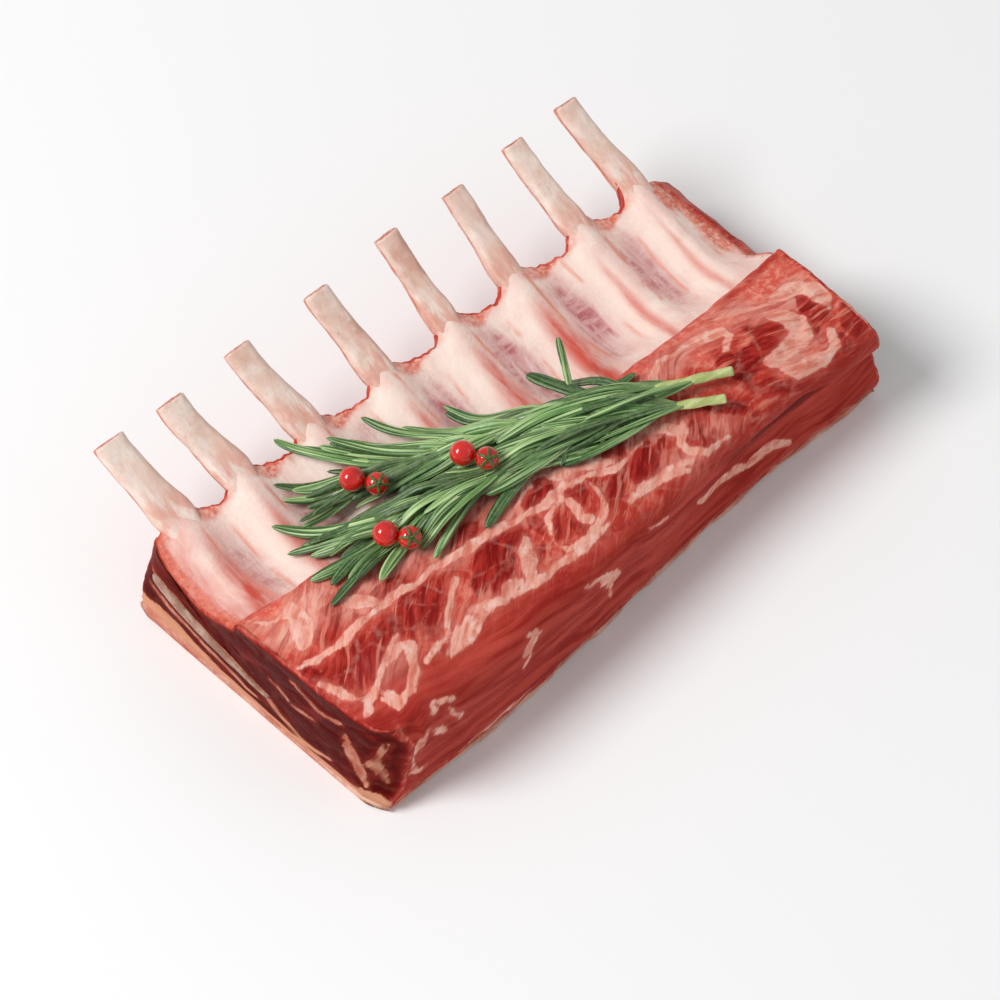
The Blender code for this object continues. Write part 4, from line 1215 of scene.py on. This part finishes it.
def boneGrid(index):
    tip = rack["ribTipY"][index]
    ys = np.linspace(boneShape["rootY"], tip, boneShape["rings"])[:, None]
    beyond = smooth(boneShape["baseY"], tip, ys)
    middleX = mix(rack["ribBaseX"][index], rack["ribTipX"][index], beyond)
    middleZ = ribTop(ys) - rack["ribThick"] / 2
    slope = np.arctan(2 * rack["ribRise"] * (ys - rack["ribLowY"]))
    flare = 1 + 0.16 * np.exp(-((ys - boneShape["baseY"] - 4) / 5) ** 2)
    shaft = mix(0.9, flare, smooth(20, boneShape["baseY"], ys)) * mix(1.0, 0.95, smooth(44, 52, ys))
    half = rack["ribWidth"][index] / 2 * shaft
    deep = rack["ribThick"] / 2 * mix(1.0, 0.92, beyond)
    turn = circle(boneShape["around"])[None, :]
    a, b = rounded(np.cos(turn), boneShape["power"]), rounded(np.sin(turn), boneShape["power"])
    x = middleX + half * a
    y = ys - np.sin(slope) * deep * b
    z = middleZ + np.cos(slope) * deep * b
    shaftRows = np.stack([x + 0 * y, y + 0 * x, z + 0 * x], -1)
    rows = [shaftRows]
    end = shaftRows[-1]
    middle = end.mean(axis=0)
    for f in (0.03, 0.09, 0.18, 0.32, 0.48, 0.64, 0.8, 0.9, 1.0):
        spot = end + (middle - end) * f
        spot[:, 1] += 0.35 * smooth(0, 0.09, f) - 0.25 * smooth(0.2, 0.7, f)
        rows.append(spot[None])
    start = shaftRows[0]
    for f in (0.5, 1.0):
        spot = start + (start.mean(axis=0) - start) * f
        rows.insert(0, spot[None])
    grid = np.concatenate(rows)
    bare = smooth(30, 42, grid[..., 1])
    waver = boneShape["waver"] * layeredNoise(grid * np.array([1, 0.35, 1]), 6.0, 60 + index, 3) * bare
    scrape = boneShape["scrape"] * layeredNoise(grid * np.array([1, 0.25, 1]), 1.6, 80 + index, 2) * bare
    grid = closePoles(grid + gridNormals(grid) * (waver + scrape)[..., None])
    sawn = np.zeros(grid.shape[:2])
    sawn[-8:] = 1.0
    sawn[-9] = 0.5
    flank = 0.9 - 2.2 * (b + 0.62) - 0.25 * (a > 0.5)
    flank = np.where(a < -0.55, flank + 0.9, flank) + 0 * sawn
    flank = flank + 1.3 * smooth(tip - 1.6, tip, grid[..., 1]) * (1 - smooth(0.2, 0.8, sawn))
    foot = (1 - smooth(39, 50, grid[..., 1])) * smooth(30, 38, grid[..., 1])
    stained = boneShape["stained"][index] + 0 * sawn
    return grid, {"sawnEnd": sawn, "flank": flank, "foot": foot, "stained": stained}


for i in range(len(rack["ribBaseX"])):
    boneRows, boneFields = boneGrid(i)
    bone = tubeFromGrid("ribBone_%d" % (i + 1), boneRows, boneFields)
    mountPiece(bone, "rib_%d" % (i + 1), finishes["bone"])
print("bones made")

# Rosemary: two stems and their needles
rosemary = {
    "routes": (
        (
            (55.8, -30.6, 45.6), (32.1, -19.9, 46.6), (7.3, -7.9, 45.6), (-10.0, 0.4, 40.2),
            (-29.0, 11.5, 35.0),
        ),
        (
            (48.8, -35.4, 44.8), (26.7, -23.6, 46.0), (6.5, -16.4, 46.2), (-14.0, -12.0, 44.8),
            (-36.0, -7.0, 42.4),
        ),
    ),
    "stemRadius": 1.35,
    "needleLength": 34.0,
    "needleWidth": 2.9,
    "needleThick": 1.1,
    "steps": 15,
    "showing": (  # needles that stand out: the tip in the picture, its height over the meat, sprig and tone
        (273, 440, 1.2, 0, 0.8), (285, 448, 1.4, 0, 0.6), (319, 449, 3.0, 0, 0.95), (273, 488, 1.2, 0, 0.15),
        (281, 502, 1.2, 0, 0.75), (293, 492, 2.2, 0, 0.7), (273, 528, 1.2, 1, 0.6), (293, 536, 1.3, 1, 0.15),
        (301, 546, 1.4, 1, 0.2), (287, 556, 1.2, 1, 0.45), (311, 557, 1.6, 1, 0.55), (308, 581, 1.2, 1, 0.35),
        (330, 585, 1.3, 1, 0.15), (329, 608, 1.3, 1, 0.1), (380, 582, 1.8, 1, 0.7), (436, 559, 1.6, 1, 0.4),
        (485, 527, 1.4, 1, 0.15), (562, 466, 1.4, 1, 0.3), (540, 458, 1.6, 1, 0.2), (486, 494, 3.0, 1, 0.45),
        (360, 417, 1.6, 0, 0.45), (402, 430, 2.0, 0, 0.9), (446, 414, 1.6, 0, 0.1), (442, 407, 1.8, 0, 0.5),
        (410, 446, 2.6, 0, 0.2), (372, 463, 2.6, 0, 0.1), (526, 374, 2.0, 0, 0.1), (635, 374, 1.6, 0, 0.3),
        (632, 383, 1.8, 0, 0.8), (611, 428, 1.6, 1, 0.45), (623, 423, 2.2, 1, 0.35), (601, 444, 1.4, 1, 0.6),
        (616, 441, 1.6, 1, 0.5),
    ),
    "crossing": (  # root, middle, tip, tone and width of needles that stand up or cross the bunch
        ((19.5, -6.5, 44), (23.5, 0.5, 45), (28, 8.5, 45), 0.5, 2.1),
        ((23, -15, 46.5), (18.5, -4.5, 44.5), (15, 6.5, 42), 0.1, 4.4),
        ((15.5, -11.5, 46.5), (5, -11.5, 47.3), (-0.5, -15, 45), 0.55, 2.0),
        ((21, -16.5, 46.5), (10, -16, 47.5), (1.5, -22.5, 45.5), 0.15, 2.2),
        ((26.5, -22, 46), (20, -21.5, 47), (14.5, -24, 45), 0.4, 2.0),
    ),
    "showingRange": {
        "length": (0.94, 1.06), "bend": (0.6, 2.4), "arch": (0.4, 1.6), "width": (0.9, 1.12), "roll": 0.35,
    },
    "filling": 86,
    "fillingRange": {
        "length": (0.82, 1.02), "bend": 1.6, "lift": (1.2, 6.6), "arch": (0.4, 2.4), "width": (0.6, 1.0),
        "roll": 0.7, "turn": 15, "tones": (0.02, 0.15, 0.35, 0.6, 0.85, 1.0),
    },
    "seed": 5,
}
tomatoSpots = (
    (-40.1, 13.7, 39.0, 1.0), (-36.2, 8.0, 39.5, 0.9), (-16.6, -4.1, 48.9, 1.0),
    (-13.2, -10.0, 50.0, 0.9), (-46.8, -8.4, 46.8, 1.0), (-42.8, -13.5, 47.0, 0.9),
)
tomatoShape = {"radius": 3.5, "segments": 48, "rings": 28, "lean": (-0.25, -0.45, 0.85)}


def routePoint(route, t):
    spans = len(route) - 1
    place = min(spans - 1e-9, max(0.0, t * spans))
    i = int(place)
    u = place - i
    p0, p1, p2, p3 = (np.array(route[k]) for k in (max(0, i - 1), i, i + 1, min(spans, i + 2)))
    cubic = -0.5 * p0 + 1.5 * p1 - 1.5 * p2 + 0.5 * p3
    square = p0 - 2.5 * p1 + 2 * p2 - 0.5 * p3
    return ((cubic * u + square) * u + 0.5 * (p2 - p0)) * u + p1


def groundUnder(x, y):
    reach = np.array([-1.6, 0.0, 1.6])
    xs = x + reach[:, None] + 0 * reach[None, :]
    ys = y + reach[None, :] + 0 * reach[:, None]
    return float(topHeight(xs, ys).max())


def underTomato(x, y):
    ceiling = 1e9
    for spotX, spotY, z, scale in tomatoSpots:
        radius = tomatoShape["radius"] * scale
        if math.hypot(x - spotX, y - spotY) < radius + 2.2:
            ceiling = min(ceiling, z - radius - 0.75)
    return ceiling


def tipInSight(seenU, seenV, lift):  # where the sight through a place in the picture comes down to the meat
    ahead, turn = viewAhead(), math.radians(photoView["azimuth"])
    right = np.array([math.cos(turn), -math.sin(turn), 0.0])
    offU, offV = seenU - photoView["middle"], seenV - photoView["middle"]
    sight = photoView["focal"] * ahead + offU * right - offV * np.cross(right, ahead)
    sight /= np.linalg.norm(sight)
    reach = np.arange(0.85, 1.1, 0.0001)[:, None] * photoView["distance"]
    spots = reach * sight - photoView["distance"] * ahead
    met = spots[:, 2] < topHeight(spots[:, 0], spots[:, 1]) + lift
    return spots[np.argmax(met)][:2].round()


def needlePath(root, tip, bend, lift, arch):  # the middle line of a needle, which comes to rest on the meat
    root, tip = np.array(root, float), np.array(tip, float)
    span = tip - root
    sideways = np.array([-span[1], span[0], 0.0])
    sideways /= max(np.linalg.norm(sideways), 1e-6)
    points = []
    for i in range(rosemary["steps"] + 1):
        t = i / rosemary["steps"]
        spot = root + span * t + sideways * bend * 4 * t * (1 - t)
        ground = groundUnder(spot[0], spot[1])
        free = mix(root[2], ground + lift, float(smooth(0, 0.85, t))) + arch * math.sin(math.pi * t)
        spot[2] = max(min(free, underTomato(spot[0], spot[1])), ground + 0.75)
        points.append(spot)
    points = np.array(points)
    for _ in range(3):
        points[1:-1, 2] = (points[:-2, 2] + 2 * points[1:-1, 2] + points[2:, 2]) / 4
    return points


def modelNeedle():  # one needle, flat and straight from 0 to 1 along X, as a blunt leaf with a groove
    around, rows = 10, rosemary["steps"] + 1
    grid = np.zeros((rows + 2, around, 3))
    for r in range(rows):
        t = 1 - (1 - r / (rows - 1)) ** 1.35
        blunt = math.sqrt(max(0.0, 1 - max(0.0, (t - 0.74) / 0.26) ** 2.4))
        width = 0.5 * (0.42 + 0.58 * float(smooth(0, 0.3, t))) * blunt + 0.02
        for k in range(around):
            turn = 2 * math.pi * k / around
            c, s = math.cos(turn), math.sin(turn)
            height = 0.5 * math.copysign(abs(s) ** 0.7, s)
            groove = -0.22 * math.exp(-(c / 0.3) ** 2) if s > 0 else 0.16 * math.exp(-(c / 0.35) ** 2)
            grid[r + 1, k] = (t, width * c, (height + groove) * min(1.0, width * 3))
    grid[0] = grid[1].mean(axis=0)
    grid[-1] = grid[-2].mean(axis=0)
    across = np.tile(np.cos(circle(around)), (rows + 2, 1))
    # the underside of each needle, which the leaf material paints dark as shade
    under = np.tile((np.sin(circle(around)) < -0.1).astype(float), (rows + 2, 1))
    along = np.repeat(np.clip(grid[:, :1, 0], 0, 1), around, axis=1)
    return tubeFromGrid("needleModel", grid / mm, {"across": across, "under": under, "along": along})


def bendNeedle(model, points, width, thick, roll, tone, index):  # a copy of the needle, laid along its path
    piece = model.copy()
    piece.data = model.data.copy()
    piece.name = "needle_%d" % index
    bpy.context.scene.collection.objects.link(piece)
    mesh = piece.data
    co = meshPoints(mesh)
    place = np.clip(co[:, 0], 0, 1) * (len(points) - 1)
    low = np.minimum(place.astype(int), len(points) - 2)
    f = (place - low)[:, None]
    centre = points[low] * (1 - f) + points[low + 1] * f
    tangents = np.gradient(points, axis=0)
    along = tangents[low] * (1 - f) + tangents[low + 1] * f
    along /= np.linalg.norm(along, axis=1, keepdims=True)
    across = np.cross(np.array([0.0, 0.0, 1.0]), along)
    across /= np.linalg.norm(across, axis=1, keepdims=True)
    up = np.cross(along, across)
    c, s = math.cos(roll), math.sin(roll)
    wide = across * c + up * s
    high = up * c - across * s
    placed = centre + wide * (co[:, 1:2] * width) + high * (co[:, 2:3] * thick)
    mesh.vertices.foreach_set("co", (placed * mm).ravel())
    layer = mesh.attributes.new("tone", "FLOAT", "POINT")
    layer.data.foreach_set("value", np.full(len(mesh.vertices), tone, np.float32))
    return piece


def growRosemary():
    rng = random.Random(rosemary["seed"])
    model = modelNeedle()
    grown = []

    def grow(path, width, roll, tone):
        grown.append(bendNeedle(model, path, width, rosemary["needleThick"], roll, tone, len(grown)))

    spread = rosemary["showingRange"]
    for seenU, seenV, lift, sprig, tone in rosemary["showing"]:
        tipX, tipY = tipInSight(seenU, seenV, lift)
        route = rosemary["routes"][sprig]
        want = rosemary["needleLength"] * rng.uniform(*spread["length"])
        options = []
        for t in np.linspace(0.12, 0.98, 60):
            p = routePoint(route, t)
            options.append((abs(math.hypot(tipX - p[0], tipY - p[1]) - want), t))
        root = routePoint(route, min(options)[1])
        side = 1 if (tipY - root[1]) > 0 else -1
        bend = side * rng.uniform(*spread["bend"])
        path = needlePath(root, (tipX, tipY, 0), bend, lift, rng.uniform(*spread["arch"]))
        width = rosemary["needleWidth"] * rng.uniform(*spread["width"])
        grow(path, width, rng.uniform(-spread["roll"], spread["roll"]), tone)
    spread = rosemary["fillingRange"]
    for sprig, route in enumerate(rosemary["routes"]):
        for i in range(rosemary["filling"]):
            t = mix(0.10, 0.93, (i + 0.5) / rosemary["filling"])
            root = routePoint(route, t)
            ahead = routePoint(route, min(1, t + 0.03)) - routePoint(route, max(0, t - 0.03))
            turn = rng.uniform(-spread["turn"], spread["turn"]) * mix(0.8, 1.5, float(smooth(0.4, 0.8, t)))
            heading = math.atan2(ahead[1], ahead[0]) + math.radians(turn)
            length = rosemary["needleLength"] * rng.uniform(*spread["length"])
            tip = root + length * np.array([math.cos(heading), math.sin(heading), 0])
            bend = rng.uniform(-spread["bend"], spread["bend"])
            lift = rng.uniform(*spread["lift"])
            path = needlePath(root, tip, bend, lift, rng.uniform(*spread["arch"]))
            width = rosemary["needleWidth"] * rng.uniform(*spread["width"])
            tone = rng.choice(spread["tones"])
            grow(path, width, rng.uniform(-spread["roll"], spread["roll"]), tone)
    for root, middle, tip, tone, width in rosemary["crossing"]:
        t = np.linspace(0, 1, rosemary["steps"] + 1)[:, None]
        path = (1 - t) ** 2 * np.array(root) + 2 * t * (1 - t) * np.array(middle) + t * t * np.array(tip)
        grow(path, width, 0.2, tone)
    bpy.data.objects.remove(model, do_unlink=True)
    return joinPieces(grown, "rosemaryNeedles")


def growStem(index):
    route = rosemary["routes"][index]
    rows, around = 90, 20
    turn = circle(around)
    c, s = np.cos(turn)[:, None], np.sin(turn)[:, None]
    square = (1 + 0.07 * np.cos(4 * turn))[:, None]
    rings = []
    for r in range(rows):
        t = r / (rows - 1)
        point = routePoint(route, t)
        ahead = routePoint(route, min(1, t + 0.02)) - routePoint(route, max(0, t - 0.02))
        ahead /= np.linalg.norm(ahead)
        across = np.cross(ahead, [0, 0, 1])
        across /= np.linalg.norm(across)
        up = np.cross(across, ahead)
        knots = 1 + 0.12 * math.sin(t * 75) * (t > 0.06)
        radius = rosemary["stemRadius"] * mix(1.0, 0.5, t) * knots
        rings.append(point + radius * square * (across * c + up * s))
    rings = np.array(rings)
    first, last = rings[0], rings[-1]
    start = [first + (first.mean(axis=0) - first) * f for f in (1.0, 0.75, 0.5, 0.25, 0.06)]
    end = [last + (last.mean(axis=0) - last) * f for f in (0.5, 1.0)]
    along = np.concatenate([np.zeros(5), np.linspace(0, 1, rows), np.ones(2)])
    fields = {"along": np.tile(along[:, None], (1, around))}
    return tubeFromGrid("rosemaryStem_%d" % (index + 1), np.concatenate([start, rings, end]), fields)


needles = growRosemary()
mountPiece(needles, "rosemary", finishes["leaf"])
for i in range(2):
    mountPiece(growStem(i), "rosemary", finishes["stem"])
print("rosemary made", len(needles.data.polygons))


# Tomatoes and their stars
def tomatoPlace(index):  # radius, middle and the turn that leans the crown
    x, y, z, scale = tomatoSpots[index]
    lean = Vector(tomatoShape["lean"]).normalized()
    turn = np.array(Vector((0, 0, 1)).rotation_difference(lean).to_matrix())
    return tomatoShape["radius"] * scale, np.array([x, y, z]), turn


def buildTomato(index):
    radius, middle, turn = tomatoPlace(index)
    deselectAll()
    splits = {"segments": tomatoShape["segments"], "ring_count": tomatoShape["rings"]}
    bpy.ops.mesh.primitive_uv_sphere_add(**splits, radius=radius * mm, location=(0, 0, 0))
    piece = bpy.context.object
    piece.name = "tomatoFruit_%d" % (index + 1)
    piece.data.name = piece.name
    co = meshPoints(piece.data) / mm
    dimple = np.exp(-(np.hypot(co[:, 0], co[:, 1]) / (radius * 0.3)) ** 2) * (co[:, 2] > 0)
    co[:, 2] = co[:, 2] * 0.96 - 0.35 * dimple
    co = co @ turn.T + middle
    piece.data.vertices.foreach_set("co", (co * mm).ravel())
    bpy.ops.object.shade_smooth()
    mountPiece(piece, "tomato_%d" % (index + 1), finishes["tomato"])


starShape = {"sepals": 5, "width": 0.40, "reach": 1.12, "lift": 0.26, "stalk": 2.0, "stalkThick": 0.42}


def sepalPoint(radius, heading, t, c, s):  # t along the sepal, c and s round it
    polar = mix(0.05, starShape["reach"], t)
    reach = radius + starShape["lift"] + 0.25 * t * t + 0.13 * s
    wide = starShape["width"] * math.sin(math.pi * mix(0.22, 0.97, t)) * c
    out, ch, sh = reach * math.sin(polar), math.cos(heading), math.sin(heading)
    return out * ch - wide * sh, out * sh + wide * ch, reach * math.cos(polar)


def stalkPoint(radius, t, c, s):
    thick = mix(starShape["stalkThick"], 0.26, t) + 0.12 * (t > 0.9)
    return thick * c + 0.5 * t * t, thick * s, radius - 0.1 + starShape["stalk"] * t


def buildStar(number, index):  # thin sepals and a stalk, bent over the crown
    radius, middle, turn = tomatoPlace(index)
    around, rows = 8, 9
    parts = []
    for k in range(starShape["sepals"] + 1):
        heading = 2 * math.pi * k / starShape["sepals"] + 0.4 * number
        grid = np.zeros((rows + 2, around, 3))
        for r in range(rows):
            t = r / (rows - 1)
            for a, angle in enumerate(circle(around)):
                c, s = math.cos(angle), math.sin(angle)
                if k < starShape["sepals"]:
                    grid[r + 1, a] = sepalPoint(radius, heading, t, c, s)
                else:
                    grid[r + 1, a] = stalkPoint(radius, t, c, s)
        grid[0] = grid[1].mean(axis=0)
        grid[-1] = grid[-2].mean(axis=0)
        parts.append(tubeFromGrid("sepal", grid @ turn.T + middle))
    star = joinPieces(parts, "tomatoStar_%d" % number)
    mountPiece(star, "calyx_%d" % number, finishes["star"])


for i in range(len(tomatoSpots)):
    buildTomato(i)
for number, index in enumerate((1, 3, 5), start=1):
    buildStar(number, index)
print("tomatoes made")

# Floor, lights and camera
studio = {
    "floorColour": (0.95, 0.95, 0.95), "floorSize": 4.0, "floorZ": -0.0002, "sky": 0.40,
    "keyPlace": (-1.2, 0.56, 1.6), "keySize": 0.95, "keyPower": 32.3,
    "fillPlace": (0.6, -0.9, 0.8), "fillSize": 1.2, "fillPower": 1.5, "aim": (0, 0, 0.03), "sensor": 36.0,
}


def buildFloor():
    deselectAll()
    splits = {"x_subdivisions": 24, "y_subdivisions": 24}
    bpy.ops.mesh.primitive_grid_add(**splits, size=studio["floorSize"], location=(0, 0, 0))
    floor = bpy.context.object
    floor.name = "studioFloor"
    for vertex in floor.data.vertices:
        vertex.co.z = studio["floorZ"]
    material, shader, body = newMaterial("Pale floor", 0.7)
    cloud = noiseNode(body, 6.0, 2.0)
    colour = colourMix(cloud, studio["floorColour"], studio["floorColour"])
    wireSurface(shader, colour, stepNode(cloud, 0.2, 0.8, 0.66, 0.74), cloud, 0.05)
    floor.data.materials.append(material)


def buildLight(name, place, size, power):
    data = bpy.data.lights.new(name, "AREA")
    data.shape = "DISK"
    data.size = size
    data.energy = power
    lamp = bpy.data.objects.new(name, data)
    bpy.context.scene.collection.objects.link(lamp)
    lamp.location = place
    lamp.rotation_euler = (Vector(studio["aim"]) - Vector(place)).to_track_quat("-Z", "Y").to_euler()


buildFloor()
buildLight("keyLight", studio["keyPlace"], studio["keySize"], studio["keyPower"])
buildLight("fillLight", studio["fillPlace"], studio["fillSize"], studio["fillPower"])
world = bpy.data.worlds.new("Soft sky")
world.use_nodes = True
world.node_tree.nodes["Background"].inputs["Color"].default_value = (1, 1, 1, 1)
world.node_tree.nodes["Background"].inputs["Strength"].default_value = studio["sky"]
bpy.context.scene.world = world
bpy.context.scene.view_settings.view_transform = "Standard"

cameraData = bpy.data.cameras.new("photoCamera")
cameraData.sensor_fit = "HORIZONTAL"
cameraData.sensor_width = studio["sensor"]
cameraData.lens = photoView["focal"] / 1000 * studio["sensor"]
camera = bpy.data.objects.new("photoCamera", cameraData)
bpy.context.scene.collection.objects.link(camera)
ahead = Vector(viewAhead())
camera.location = -ahead * photoView["distance"] * mm
camera.rotation_euler = ahead.to_track_quat("-Z", "Y").to_euler()
bpy.context.scene.camera = camera

print("scene ready")
